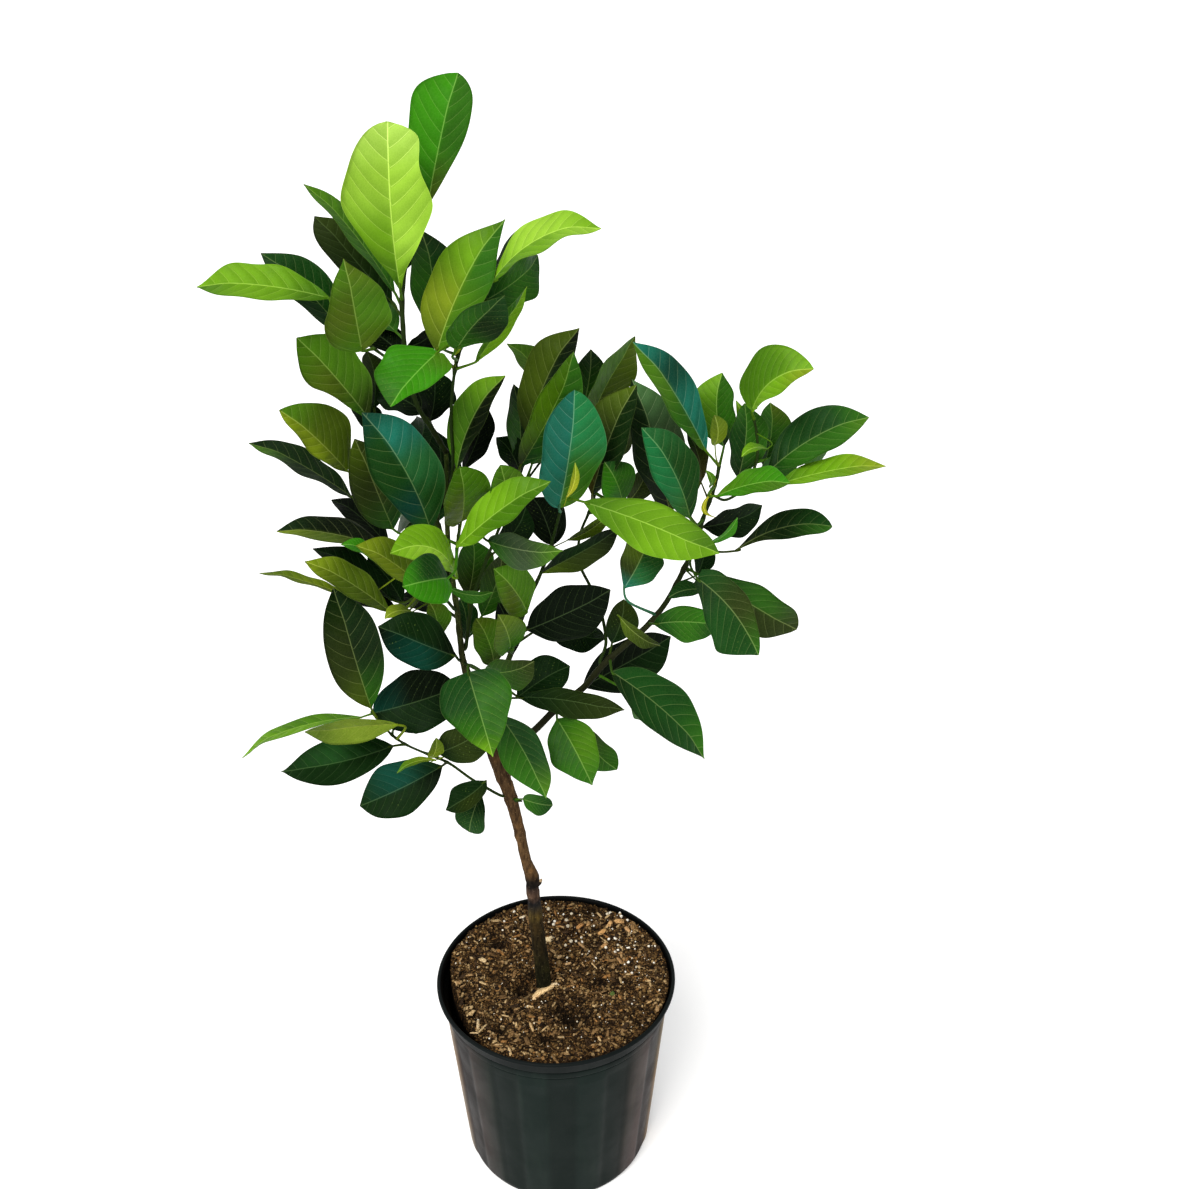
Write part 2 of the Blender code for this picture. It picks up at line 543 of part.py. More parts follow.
def soil_body():
    """Soil up to its surface, drawn back from the wall on one side."""
    angles = [2 * pi * (k + 0.5) / POT_COLUMNS for k in range(POT_COLUMNS)]
    wall = POT_WALL + GAP + 0.25

    def ring(height):
        reach = pot_radius(height) - wall
        return [Vector((reach * cos(a), reach * sin(a), height)) for a in angles]

    foot_reach = POT_FOOT_RADIUS - POT_WALL - 6.0
    foot_height = POT_FLOOR + GAP
    rings = [[Vector((foot_reach * cos(a), foot_reach * sin(a), foot_height)) for a in angles],
             ring(POT_FLOOR + 6.0), ring(SOIL_BODY_TOP)]
    for radius, height, back in SOIL_NECK:
        row = []
        for a in angles:
            reach = radius - SOIL_SHRINK_TOP * back * shrink_at(a)
            row.append(Vector((reach * cos(a), reach * sin(a), height - SOIL_NECK_DROP * shrink_at(a))))
        rings.append(row)
    for share in reversed(SOIL_RINGS):
        row = []
        for a in angles:
            reach = (SOIL_REACH - SOIL_SHRINK_TOP * shrink_at(a)) * share
            x, y = reach * cos(a), reach * sin(a)
            drop = SOIL_DROP * shrink_at(a) * max(0.0, share - 0.8) / 0.2
            row.append(Vector((x, y, soil_height(x, y) - drop)))
        rings.append(row)
    return loft("soil", rings)


def chip(name, x, y, size, turn, tip_up):
    """Bark chip lying on the soil, sunk by half."""
    frame = Matrix.Rotation(turn, 3, "Z") @ Matrix.Rotation(tip_up, 3, "Y")
    length, width, height = size
    centre = Vector((x, y, soil_height(x, y) + height * 0.15))
    corners = [(-0.5, -0.32), (0.38, -0.5), (0.5, 0.28), (-0.36, 0.5)]
    rings = []
    for level, grow in ((-0.5, 1.0), (0.5, 0.8)):
        rings.append([centre + frame @ Vector((cx * length * grow, cy * width * grow, level * height))
                      for cx, cy in corners])
    return loft(name, rings)


def soil(root_place):
    pieces = [soil_body()]
    draw = random.Random(CHIP_SEED)
    pale = sight(*CHIP_PALE)
    pieces.append(chip("chip_pale", pale.x, pale.y, CHIP_PALE_SIZE, CHIP_PALE_TURN, radians(-6)))
    for number in range(CHIP_COUNT):
        reach = (pot_radius(SOIL_TOP) - CHIP_MARGIN) * sqrt(draw.random())
        angle = draw.uniform(0, 2 * pi)
        size = (draw.uniform(12, 24), draw.uniform(5, 9), draw.uniform(3.5, 5.5))
        turn = draw.uniform(0, pi)
        tip_up = draw.uniform(-0.25, 0.25)
        x, y = reach * cos(angle), reach * sin(angle)
        if (Vector((x, y)) - root_place.xy).length > CHIP_CLEAR:
            pieces.append(chip("chip_%02d" % number, x, y, size, turn, tip_up))
    ground = join_all("soil", pieces)

    hole_radius = ROOTSTOCK[0][2] + TRUNK_HOLE
    top = Vector((root_place.x, root_place.y, SOIL_TOP + 20.0))
    bottom = Vector((root_place.x, root_place.y, SOIL_TOP - TRUNK_ROOT_DEPTH - 4.0))
    cutter = tube("soil_hole_cutter", [bottom, top], [hole_radius, hole_radius], 14)
    cutter.hide_render = True
    cutter.display_type = "WIRE"
    cut = ground.modifiers.new("root_hole", "BOOLEAN")
    cut.operation = "DIFFERENCE"
    cut.object = cutter
    graph = bpy.context.evaluated_depsgraph_get()
    ground.data = bpy.data.meshes.new_from_object(ground.evaluated_get(graph))
    ground.modifiers.clear()
    bpy.data.objects.remove(cutter)
    keep_largest_body(ground.data)
    return finish(ground, material("potting_soil", (0.05, 0.03, 0.018), 0.95))


def route_and_radii(rows, steps):
    """Smooth route and matching radii from rows of spot, depth and radius."""
    points = smooth_route([sight(spot, depth) for spot, depth, radius in rows], steps)
    radii = []
    for i in range(len(points)):
        row = min(i // steps, len(rows) - 2)
        share = i / steps - row
        radii.append(rows[row][2] * (1 - share) + rows[row + 1][2] * share)
    return points, radii


def trunk():
    """Rootstock with its end in the soil, the scion on its graft and two short stubs."""
    stock, stock_radii = route_and_radii(ROOTSTOCK, 1)
    root_end = stock[0] - Vector((0, 0, TRUNK_ROOT_DEPTH))
    stock = [root_end, stock[0] - Vector((0, 0, 8.0))] + stock
    stock_radii = [6.0, ROOTSTOCK[0][2]] + stock_radii
    pieces = [tube("trunk", stock, stock_radii, TRUNK_SIDES)]
    scion, scion_radii = route_and_radii(SCION, 1)
    pieces.append(tube("scion", scion, scion_radii, TRUNK_SIDES))
    for name, rows in (("torn_end", TORN_END), ("dead_spur", DEAD_SPUR)):
        route, radii = route_and_radii(rows, 1)
        pieces.append(tube(name, route, radii, BRANCH_SIDES + 1))
    body = join_all("trunk", pieces)
    finish(body, material("bark", (0.09, 0.055, 0.03), 0.8))
    return scion, scion_radii


def nearest_on(route, radii, point):
    """Point, direction and radius of a route where it passes nearest to a point."""
    best = None
    for (a, b), (ra, rb) in zip(zip(route, route[1:]), zip(radii, radii[1:])):
        run = b - a
        share = min(1.0, max(0.0, (point - a).dot(run) / run.length_squared))
        spot = a + run * share
        if best is None or (spot - point).length < best[0]:
            best = ((spot - point).length, spot, run.normalized(), ra + (rb - ra) * share)
    return best[1:]


def stem_route(shoot, routes):
    """Stem's route, radii and the plane of its foot, clear of the piece that carries it."""
    knots = [sight(spot, depth) for spot, depth in shoot.stem]
    if shoot.parent.startswith("tip"):
        carrier = routes[shoot.parent[4:] or "trunk"]
        way = (carrier[0][-1] - carrier[0][-2]).normalized()
        knots[0] = carrier[0][-1] + way * GAP
        points = smooth_route(knots, 1)
        foot_way = way
    else:
        spot, way, radius = nearest_on(*routes[shoot.parent], knots[0])
        out = knots[1] - spot
        out = (out - way * out.dot(way)).normalized()
        foot = spot + out * (radius + GAP)
        knots = [foot + out * (shoot.foot * 1.1)] + knots[1:]
        points = [foot] + smooth_route(knots, 1)
        foot_way = out
    count = len(points) - 1
    radii = [shoot.foot + (shoot.end - shoot.foot) * i / count for i in range(count + 1)]
    return points, radii, foot_way


def leaf_frame(one):
    """Base, tip and the directions along, across and out of the upper face of a leaf."""
    base = sight(one.base, one.depth)
    tip = sight(one.tip, one.depth + one.lean)
    along = (tip - base).normalized()
    look = (base + tip) / 2 - VIEW_PLACE
    towards = -(look - along * look.dot(along)).normalized()
    right = along.cross(towards)
    full = one.wide * cos(radians(one.fold)) * VIEW_FOCAL / look.dot(VIEW_AHEAD)
    turn = copysign(acos(min(1.0, abs(one.shown) / full)), one.shown)
    face = towards * cos(turn) + right * sin(turn)
    if one.under:
        face = -face
    return base, tip, along, right, face


def outline(form, share):
    """Half width of a blade over its largest half width, at a share of its length."""
    rise, fall = OUTLINES[form]
    peak = rise / (rise + fall)
    top = peak ** rise * (1 - peak) ** fall
    return share ** rise * (1 - share) ** fall / top


def section(point, across, face, half, lift, edge, middle):
    """Six points round a leaf: the edges raised by `lift`, thicker at the midrib."""
    left = point - across * half + face * lift
    right = point + across * half + face * lift
    return [left + face * edge, point + face * middle, right + face * edge,
            right - face * edge, point - face * middle, left - face * edge]


def leaf_solid(name, one, stem, stem_radii):
    """Petiole and blade as one closed solid, its foot at the middle of the stem."""
    base, tip, along, right, face = leaf_frame(one)
    across = along.cross(face)
    small = one.wide < SMALL_LEAF
    foot = nearest_on(stem, stem_radii, base - along * PETIOLE_RUN)[0]
    length = (tip - base).length
    bulge = face * one.arch + right * one.bow
    fold = radians(one.fold)

    def midrib(share):
        return base + along * (length * share) + bulge * (4 * share * (1 - share))

    rings = []
    stalk = [foot]
    if (base - foot).length > LONG_PETIOLE:
        stalk.append((foot + base) / 4 + (base - along * PETIOLE_ELBOW) / 2)
    stations = SMALL_STATIONS if small else STATIONS
    points = stalk + [midrib(s) for s in stations]
    ways = tangents(points)
    blade_start = len(stalk)
    frames = [None] * len(points)
    for i in range(blade_start, len(points)):
        frames[i] = (across - ways[i] * across.dot(ways[i])).normalized()
    side = frames[blade_start]
    for i in range(blade_start - 1, -1, -1):
        side = (side - ways[i] * side.dot(ways[i])).normalized()
        frames[i] = side
    for i, (point, way, side) in enumerate(zip(points, ways, frames)):
        up = side.cross(way)
        if i < blade_start:
            rings.append(section(point, side, up, PETIOLE_HALF * 0.9, 0.0, 0.6, PETIOLE_HALF))
            continue
        share = stations[i - blade_start]
        half = max(one.wide / 2 * outline(one.form, share), TIP_HALF if share > 0.5 else PETIOLE_HALF)
        thick = BLADE_MIDRIB if share < 0.99 else 0.6
        edge = BLADE_EDGE if 0.0 < share else 0.6
        rings.append(section(point, side, up, half * cos(fold), half * sin(fold), edge, thick))
    return loft(name, rings)


def shoot_body(name, shoot, routes):
    points, radii, foot_way = stem_route(shoot, routes)
    routes[name] = (points, radii)
    pieces = [tube(name, points, radii, BRANCH_SIDES, foot_way)]
    for number, one in enumerate(shoot.leaves):
        pieces.append(leaf_solid("%s_leaf_%02d" % (name, number), one, points, radii))
    body = join_all(name, pieces)
    return finish(body, material(name + "_leaf", (0.06, 0.17, 0.02), 0.4))


def build():
    for obj in list(bpy.data.objects):
        bpy.data.objects.remove(obj)
    pot()
    scion = trunk()
    soil(sight(*ROOTSTOCK[0][:2]))
    routes = {"trunk": scion}
    for name, shoot in SHOOTS.items():
        shoot_body(name, shoot, routes)


build()
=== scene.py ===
"""Looks of the potted jackfruit sapling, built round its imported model.

Sizes are millimetres in the tables and in the numpy arrays, and metres on the objects. The plant is
drawn along the sight lines of one view, as the model is: a spot is (across, down) in that view's frame,
1200 wide and 1189 high, and a depth is how far behind the pot's axis the point lies.
"""

import json
import random
from collections import namedtuple
from math import acos, atan2, copysign, cos, exp, pi, radians, sin, sqrt

import bmesh
import bpy
import numpy as np
from mathutils import Euler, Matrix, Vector, noise

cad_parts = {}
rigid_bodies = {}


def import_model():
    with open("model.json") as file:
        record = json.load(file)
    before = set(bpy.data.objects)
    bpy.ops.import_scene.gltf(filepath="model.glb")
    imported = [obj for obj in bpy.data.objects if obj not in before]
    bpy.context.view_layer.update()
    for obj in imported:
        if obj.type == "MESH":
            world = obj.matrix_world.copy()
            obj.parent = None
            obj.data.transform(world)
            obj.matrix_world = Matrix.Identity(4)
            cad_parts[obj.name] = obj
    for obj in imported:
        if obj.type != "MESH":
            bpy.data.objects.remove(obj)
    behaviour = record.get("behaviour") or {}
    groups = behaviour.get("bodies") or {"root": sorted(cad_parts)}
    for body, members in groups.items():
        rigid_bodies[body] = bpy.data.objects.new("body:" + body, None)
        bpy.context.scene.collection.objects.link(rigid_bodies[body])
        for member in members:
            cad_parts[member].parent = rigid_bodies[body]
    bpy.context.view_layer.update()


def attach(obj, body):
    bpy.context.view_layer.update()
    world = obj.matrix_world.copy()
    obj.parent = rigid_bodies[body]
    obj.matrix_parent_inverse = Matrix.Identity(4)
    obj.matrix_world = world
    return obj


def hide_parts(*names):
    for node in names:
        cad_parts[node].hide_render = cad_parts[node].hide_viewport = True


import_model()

MM = 0.001

# The view that the spots belong to
VIEW_PLACE = Vector((51.5, -1122.4, 1300.0))
VIEW_TILT = radians(26.3)
VIEW_FOCAL = 1250.0
VIEW_SIZE = (1200.0, 1189.0)
VIEW_MIDDLE = (VIEW_SIZE[0] / 2, VIEW_SIZE[1] / 2)
VIEW_AHEAD = Vector((0.0, cos(VIEW_TILT), -sin(VIEW_TILT)))
SENSOR = 36.0

# Stage and light
FLOOR_REACH = 110.0             # metres
FLOOR_LOOK = {
    "Base Color": (0.86, 0.86, 0.86), "Emission Color": (1.0, 1.0, 1.0),
    "Emission Strength": 0.24, "Roughness": 0.9, "Specular IOR Level": 0.1,
}
SURROUND_STRENGTH = 0.75
KEY_STRENGTH = 3.0
KEY_SPREAD = radians(35)
KEY_TINT = (1.0, 0.98, 0.95)
KEY_TURN = (radians(38), radians(-24), 0.0)

# Pot
POT_HEIGHT = 248.0
POT_FOOT_RADIUS = 110.5
POT_TAPER = 0.09
POT_WALL = 3.2
POT_PANELS = 24                 # raised and sunk panels by turns
POT_PANEL_EDGE = radians(-78.0)
POT_FLUTE_DEPTH = 0.8
POT_RIM_RADIUS = 140.0
POT_COLUMNS = 240
POT_FRONT = radians(-88.0)
POT_BODY_TOP = 216.0
POT_COLLAR_OUT = 2.2            # how far the collar stands out from the body
# Corners of the pot's section from the foot up and down inside: heights on the body's slope, (out from the
# body, height) at the step, (out from the collar, height), (in from the lip's edge, height), (radius,
# height) and (in from the wall's inner face, height)
POT_BODY_HEIGHTS = (8.0, 60.0, 120.0, 180.0, 204.0, POT_BODY_TOP)
POT_STEP = ((-0.6, 217.2), (-0.6, 218.4))
POT_COLLAR = ((0.0, 219.6), (0.3, 226.8), (-2.0, 227.7), (-2.0, 229.0), (2.6, 230.6), (4.2, 243.0))
POT_LIP = ((0.4, 244.0), (0.0, 246.0), (1.4, POT_HEIGHT), (3.6, POT_HEIGHT), (5.0, 246.2))
POT_THROAT = ((133.6, 243.0), (132.9, 233.0))
POT_INSIDE = ((0.0, 229.0), (0.0, 200.0), (0.2, 190.0))
POT_GROOVES = ((217.0, 218.6), (227.4, 229.3))
POT_GROOVE_SHADE = 0.1
POT_ROUNDING = 1.1
# Heights, and angles from the front, between which the flutes, the painted side sheen and the strips of
# painted grazing sheen fade in and then out
POT_FLUTE_FADES = (2.0, 12.0, 203.0, 214.0)
POT_SIDE_SHEEN_FADES = [radians(angle) for angle in (28.0, 62.0, 90.0, 108.0)]
POT_GRAZING_SHEEN_FADES = [radians(angle) for angle in (62.0, 74.0, 83.0, 96.0)]
POT_RIM_FADE = (218.0, 236.0)
POT_TONE = (0.0040, 0.0082, 0.0068)
# Painted sheen: purplish to the sides, and brownish in strips near the edges as seen from the front
POT_SIDE_SHEEN_TONE = (0.0270, 0.0205, 0.0185)
POT_GRAZING_SHEEN_TONE = (0.092, 0.069, 0.038)
POT_RIM_TONE = (0.0036, 0.0056, 0.0054)

# Soil
SOIL_TOP = 242.5
SOIL_ROUGHNESS = 1.8
SOIL_SHRINK_TOP = 13.5
SOIL_REACH = 132.7
SOIL_SHRINK_ANGLE = radians(202.0)
SOIL_SHRINK_SPREAD = radians(38.0)
SOIL_DROP = 14.0
SOIL_DROP_START = 0.86          # share of the way to the edge where the soil starts to fall
SOIL_EDGE_DROP = 1.2
SOIL_BANK = 2.6                 # how much higher the mix lies against the wall
SOIL_COLUMNS = 260
SOIL_RINGS = 84
# Hollows in the surface: spot, reach and depth; the mix and the loose bits in them are darker as painted
# shade
SOIL_HOLLOWS = (
    ((523, 988), 12.0, 15.0), ((532, 973), 9.0, 6.0), ((573, 1015), 14.0, 13.0), ((560, 1007), 9.0, 6.0),
    ((590, 912), 9.0, 5.0), ((480, 912), 9.0, 5.0), ((458, 1010), 10.0, 7.0), ((638, 1024), 9.0, 5.0),
    ((600, 980), 9.0, 6.0), ((500, 1030), 9.0, 6.0), ((545, 1040), 8.0, 5.0), ((500, 945), 9.0, 6.0),
)
SOIL_SIDE_DEPTHS = (18.0, 40.0)
SOIL_LUMPS = ((1.5, 0.16), (1.2, 0.36), (0.7, 0.8))     # height and fineness of the small lumps
MIX_TONE = (0.098, 0.052, 0.017)
FEW_LARGE = 2.2                 # power that makes large bits rare
GOLDEN = (1 + sqrt(5)) / 2
CRUMB_COUNT = 5200
CRUMB_SIZES = (0.55, 1.7)       # smallest, and how much larger the largest
DARKEST = 0.85                  # no crumbs where the mix is darker than this
CRUMB_TONES = (
    (0.030, 0.017, 0.009), (0.015, 0.010, 0.007), (0.105, 0.060, 0.022), (0.165, 0.098, 0.036),
    (0.235, 0.150, 0.062), (0.070, 0.040, 0.016), (0.340, 0.235, 0.115),
)
CHIP_COUNT = 820
CHIP_LENGTHS = (3.0, 14.0)
CHIP_TONES = (
    (0.22, 0.13, 0.055), (0.13, 0.075, 0.032), (0.34, 0.215, 0.10), (0.055, 0.032, 0.016),
    (0.52, 0.37, 0.19), (0.30, 0.15, 0.050), (0.040, 0.024, 0.013),
)
FIBRE_COUNT = 260
FIBRE_LENGTH = (4, 13)
FIBRE_RADIUS = (0.18, 0.36)
PERLITE_COUNT = 540
PERLITE_TONES = ((0.78, 0.74, 0.64), (0.60, 0.54, 0.42), (0.86, 0.84, 0.78))
# Corners of a chip over its length and width, and its levels over its thickness with their widths
SLIVER_CORNERS = ((-0.5, 0.1), (-0.36, -0.5), (0.3, -0.45), (0.5, -0.05), (0.34, 0.5), (-0.3, 0.42))
SLIVER_LEVELS = ((-0.5, 0.8), (0.1, 1.0), (0.5, 0.72))
TRUNK_CLEARANCE = 11.0
# Chips with a place of their own: spot, turn in degrees, size, tone
PLACED_CHIPS = (
    ((544, 990), 36, (34, 13, 4.2), (0.74, 0.53, 0.28)),
    ((537, 997), 52, (17, 5.0, 2.8), (0.66, 0.46, 0.25)),
    ((554, 985), 22, (13, 3.6, 2.6), (0.80, 0.64, 0.42)),
    ((549, 941), 20, (15, 9.5, 3.0), (0.72, 0.58, 0.36)),
    ((522, 919), 10, (11, 3.0, 2.2), (0.60, 0.50, 0.36)),
    ((579, 928), 35, (13, 6.5, 3.0), (0.46, 0.24, 0.09)),
    ((589, 925), 70, (12, 5.5, 2.8), (0.50, 0.30, 0.13)),
    ((601, 934), 20, (17, 6.5, 3.0), (0.55, 0.31, 0.12)),
    ((609, 927), 60, (16, 6.0, 3.0), (0.60, 0.36, 0.16)),
    ((620, 924), 10, (15, 7.0, 3.0), (0.56, 0.33, 0.14)),
    ((627, 931), 120, (13, 5.5, 2.8), (0.50, 0.30, 0.14)),
    ((603, 947), 25, (14, 5.5, 2.8), (0.42, 0.24, 0.10)),
    ((582, 946), 140, (13, 4.5, 2.6), (0.40, 0.25, 0.12)),
    ((482, 961), 128, (16, 6.0, 2.8), (0.66, 0.50, 0.29)),
    ((620, 962), 120, (15, 6.0, 2.8), (0.34, 0.20, 0.09)),
    ((560, 958), 55, (11, 4.2, 2.2), (0.42, 0.28, 0.14)),
    ((568, 965), 10, (10, 3.4, 2.0), (0.46, 0.30, 0.15)),
    ((478, 1024), 95, (27, 3.6, 2.2), (0.62, 0.47, 0.28)),
    ((483, 1030), 60, (21, 2.6, 1.8), (0.50, 0.37, 0.20)),
    ((474, 1034), 150, (15, 1.8, 1.4), (0.58, 0.42, 0.23)),
    ((532, 1029), 110, (13, 4.0, 2.2), (0.52, 0.36, 0.18)),
    ((545, 1030), 45, (14, 2.2, 1.6), (0.46, 0.32, 0.16)),
    ((652, 1003), 40, (17, 2.4, 1.6), (0.48, 0.31, 0.14)),
    ((499, 1046), 15, (12, 2.2, 1.4), (0.48, 0.33, 0.17)),
    ((594, 966), 128, (13, 2.0, 1.4), (0.52, 0.37, 0.19)),
    ((612, 994), 20, (7.5, 6.0, 1.6), (0.075, 0.115, 0.030)),
)

# Trunk: rows of spot, depth and radius
ROOTSTOCK = (
    ((544, 984), -12, 9.0), ((542, 965), -10, 8.5), ((539, 943), -8, 8.2), ((536, 922), -6, 8.0),
    ((535, 909), -5, 8.2), ((534, 900), -4, 7.2), ((533, 892), -3, 7.8), ((532, 884), -2, 7.0),
)
SCION = (
    ((533, 890), 0, 6.0), ((532, 877), 0, 8.2), ((526, 860), 2, 5.9), ((522, 842), 1, 6.0),
    ((518, 825), 0, 6.3), ((513, 806), 0, 6.8), ((508, 789), 0, 7.4), ((501, 772), 0, 7.6),
    ((494, 755), 0, 7.0), ((486, 732), 0, 6.2), ((478, 705), 0, 5.2), ((470, 682), -1, 4.3),
    ((463, 660), -2, 3.5), ((460, 637), -3, 3.2), ((457, 610), -3, 3.0), ((452, 575), -3, 2.8),
    ((448, 540), -2, 2.6), ((447, 505), -1, 2.5), ((447, 475), 0, 2.4), ((446, 452), 0, 2.3),
)
TORN_END = (((535, 886), -3, 3.6), ((540, 882), -5, 2.6), ((542, 879), -6, 1.2))
DEAD_SPUR = (((511, 803), 0, 2.0), ((514, 794), -3, 1.5), ((512, 780), -4, 0.9))
# Scars that ring the scion: spot, depth
SCION_RINGS = (
    ((519, 834), 1), ((510, 799), 0), ((503, 777), 0), ((484, 726), 0), ((466, 669), -1),
    ((459, 630), -3), ((455, 597), -3), ((450, 558), -2), ((447, 520), -1), ((447, 490), 0),
)
ROOT_DEPTHS = (62.0, 8.0)       # below the first row, of the end and the start of the hidden foot
ROOT_RADIUS = 6.0
RING_SWELL = 0.5
RING_SHARE = 0.1                # of the scion's radius, more on the swell
RING_REACH = 3.5
TORN_TONE = (0.36, 0.26, 0.15)
TORN_REACH = 4.0
BARK_ROUGHNESS = 0.42
BARK_GRAIN = ((0.35, 0.09, 1.0), (0.8, 0.2, 0.5))       # fineness across and along, share
BARK_FADE = (760.0, 900.0)      # heights between which the bark turns smooth
BARK_GRID = 0.9
CURVE_STEPS = 6                 # points to each stretch of a smooth route

# Colour of the trunk at a spot's `down`, from the soil up: dark rootstock, the ring of the graft with
# near-black bands (at 899 and 884) that paint the shade in its hollow, the brown scion and its young green
# end
TRUNK_TONES = (
    (990, (0.007, 0.008, 0.003)), (960, (0.012, 0.011, 0.003)), (940, (0.017, 0.012, 0.004)),
    (918, (0.025, 0.016, 0.005)), (911, (0.059, 0.040, 0.010)), (904, (0.022, 0.017, 0.010)),
    (899, (0.010, 0.010, 0.011)), (893, (0.085, 0.050, 0.032)), (888, (0.054, 0.032, 0.023)),
    (884, (0.008, 0.006, 0.005)), (879, (0.013, 0.009, 0.006)), (874, (0.072, 0.039, 0.016)),
    (860, (0.098, 0.054, 0.022)), (800, (0.080, 0.044, 0.018)), (755, (0.056, 0.031, 0.014)),
    (700, (0.039, 0.032, 0.011)), (640, (0.031, 0.039, 0.009)), (450, (0.042, 0.068, 0.011)),
)

# Leaves
PETIOLE_HALF = 1.2              # of a blade at its base
BLADE_THICK = 0.45
LONG_PETIOLE = 34.0             # longer petioles get an elbow
PETIOLE_ELBOW = 16.0            # how far before the blade the elbow lies, at most
PETIOLE_RUN = 14.0              # how far below its blade a leaf looks for its place on the stem
PETIOLE_RADIUS = 1.15
PETIOLE_FOOT_SWELL = 0.75
PETIOLE_BLADE_SWELL = 0.25
PETIOLE_POINT = 3.5
PETIOLE_IN_BLADE = 6.0          # how far it runs on under the blade, at most
PETIOLE_GREEN = (0.10, 0.16, 0.01)
SLIM_WIDTH = 36.0               # narrower leaves have slimmer petioles
STEM_SIDES = 12
STEM_FOOT_SWELL = 0.8
NODE_SWELL = 0.55               # ring where a leaf stands
NODE_REACH = 3.0
# The stem tones are kept dark: with the stems' own green and brownish colour they hold painted shade, as the
# stems stand inside the crown
YOUNG_STEM = (0.016, 0.034, 0.005)
OLD_STEM = (0.014, 0.016, 0.005)
MARGIN_RAGGED = 0.035
TIP_HALF = 0.35
VEIN_SPACING = 4.5              # least distance between side veins along the midrib
VEIN_PAIRS = 9.0
VEIN_SLANT = 0.6
VEIN_CURVE = 1.15
VEIN_STAGGER = 0.38             # right veins start this share of the spacing farther on
VEIN_RELIEF = 0.28
MIDRIB_RELIEF = 0.75
MIDRIB_HALF = 1.3
QUILT_HEIGHT = 0.9
WAVE_SHARE = (0.02, 0.04)       # height of the margin's waves over the leaf's width
WAVE_TURNS = (1.6, 2.8)
TIP_DROP = (2.0, 5.5)           # on a leaf 100 mm long
# Slots of a leafy shoot's materials
UPPER, UNDER, STEM, SHADE = range(4)
LEAF_SEED = 23
ROW_STEP = 2.3                  # length of one row of a blade's grid
COLUMNS = (0.05, 0.16, 0.3, 0.45, 0.6, 0.74, 0.87, 1.0)    # of one half, from the midrib outwards
# Powers of the share before and behind the widest place, and how blunt the tip is
OUTLINES = {
    "oval": (0.85, 0.72, 0.4),
    "broad": (0.95, 0.6, 0.45),
    "heart": (0.42, 1.0, 0.5),
    "round": (0.62, 0.52, 0.6),
    "slim": (0.8, 0.9, 0.4),
    "club": (1.3, 0.55, 0.5),
    "sharp": (0.8, 1.0, 0.5),
}
# Half widths of the left and right halves at shares of the length, where the two are unlike
UNEVEN_OUTLINES = {
    "spoon": (((0, 0.04), (0.12, 0.22), (0.3, 0.62), (0.5, 1.0), (0.62, 1.07), (0.77, 0.9), (0.9, 0.58),
               (0.97, 0.3), (1, 0.03)),
              ((0, 0.04), (0.12, 0.2), (0.3, 0.6), (0.48, 0.88), (0.6, 0.86), (0.75, 0.68), (0.86, 0.66),
               (0.93, 0.62), (0.975, 0.4), (1, 0.03))),
    "skew": (((0, 0.05), (0.28, 0.36), (0.5, 0.6), (0.64, 0.8), (0.78, 0.78), (0.9, 0.45), (1, 0.02)),
             ((0, 0.05), (0.15, 0.5), (0.35, 0.85), (0.6, 1.0), (0.75, 0.92), (0.9, 0.5), (1, 0.02))),
    "lop": (((0, 0.05), (0.2, 0.4), (0.45, 0.54), (0.65, 0.52), (0.85, 0.32), (1, 0.02)),
            ((0, 0.1), (0.12, 0.7), (0.3, 1.2), (0.45, 1.3), (0.65, 1.15), (0.85, 0.68), (0.95, 0.3),
             (1, 0.02))),
    "fan": (((0, 0.25), (0.12, 0.72), (0.3, 0.86), (0.5, 0.76), (0.75, 0.42), (1, 0.02)),
            ((0, 0.2), (0.15, 0.72), (0.35, 1.02), (0.6, 1.08), (0.8, 0.9), (0.93, 0.42), (1, 0.02))),
    "wing": (((0, 0.35), (0.15, 0.72), (0.4, 0.74), (0.7, 0.5), (0.9, 0.2), (1, 0.02)),
             ((0, 0.2), (0.2, 0.58), (0.5, 1.0), (0.75, 1.15), (0.9, 0.72), (1, 0.03))),
    "shell": (((0, 0.3), (0.1, 0.85), (0.3, 1.1), (0.53, 1.14), (0.78, 0.84), (0.93, 0.38), (1, 0.02)),
              ((0, 0.08), (0.2, 0.4), (0.45, 0.62), (0.7, 0.55), (0.9, 0.28), (1, 0.02))),
}

# Tones of leaves, linear red, green and blue. They hold light and shade as well as the leaves' colour:
# dark and black are painted shade on leaves inside the crown, and teal, tealdark, bluegreen, grey and
# greydark are a painted bluish or greyish sheen of the sky on the leaves.
TONES = {
    "pale": (0.37, 0.60, 0.085),
    "lime": (0.27, 0.49, 0.035),
    "bright": (0.125, 0.29, 0.006),
    "yellow": (0.165, 0.235, 0.008),
    "gold": (0.40, 0.42, 0.015),
    "vivid": (0.032, 0.20, 0.003),
    "mid": (0.052, 0.15, 0.004),
    "green": (0.020, 0.100, 0.004),
    "jade": (0.010, 0.145, 0.040),
    "bluegreen": (0.014, 0.10, 0.025),
    "teal": (0.008, 0.125, 0.082),
    "tealdark": (0.003, 0.042, 0.026),
    "deep": (0.006, 0.044, 0.005),
    "olive": (0.062, 0.105, 0.005),
    "olivedark": (0.020, 0.034, 0.004),
    "brown": (0.040, 0.034, 0.005),
    "grey": (0.07, 0.17, 0.055),
    "greydark": (0.03, 0.055, 0.022),
    "dark": (0.0035, 0.017, 0.0025),
    "black": (0.0016, 0.0045, 0.0014),
}
SHADE_TONE = 0.03               # leaves darker than this have the dull finish

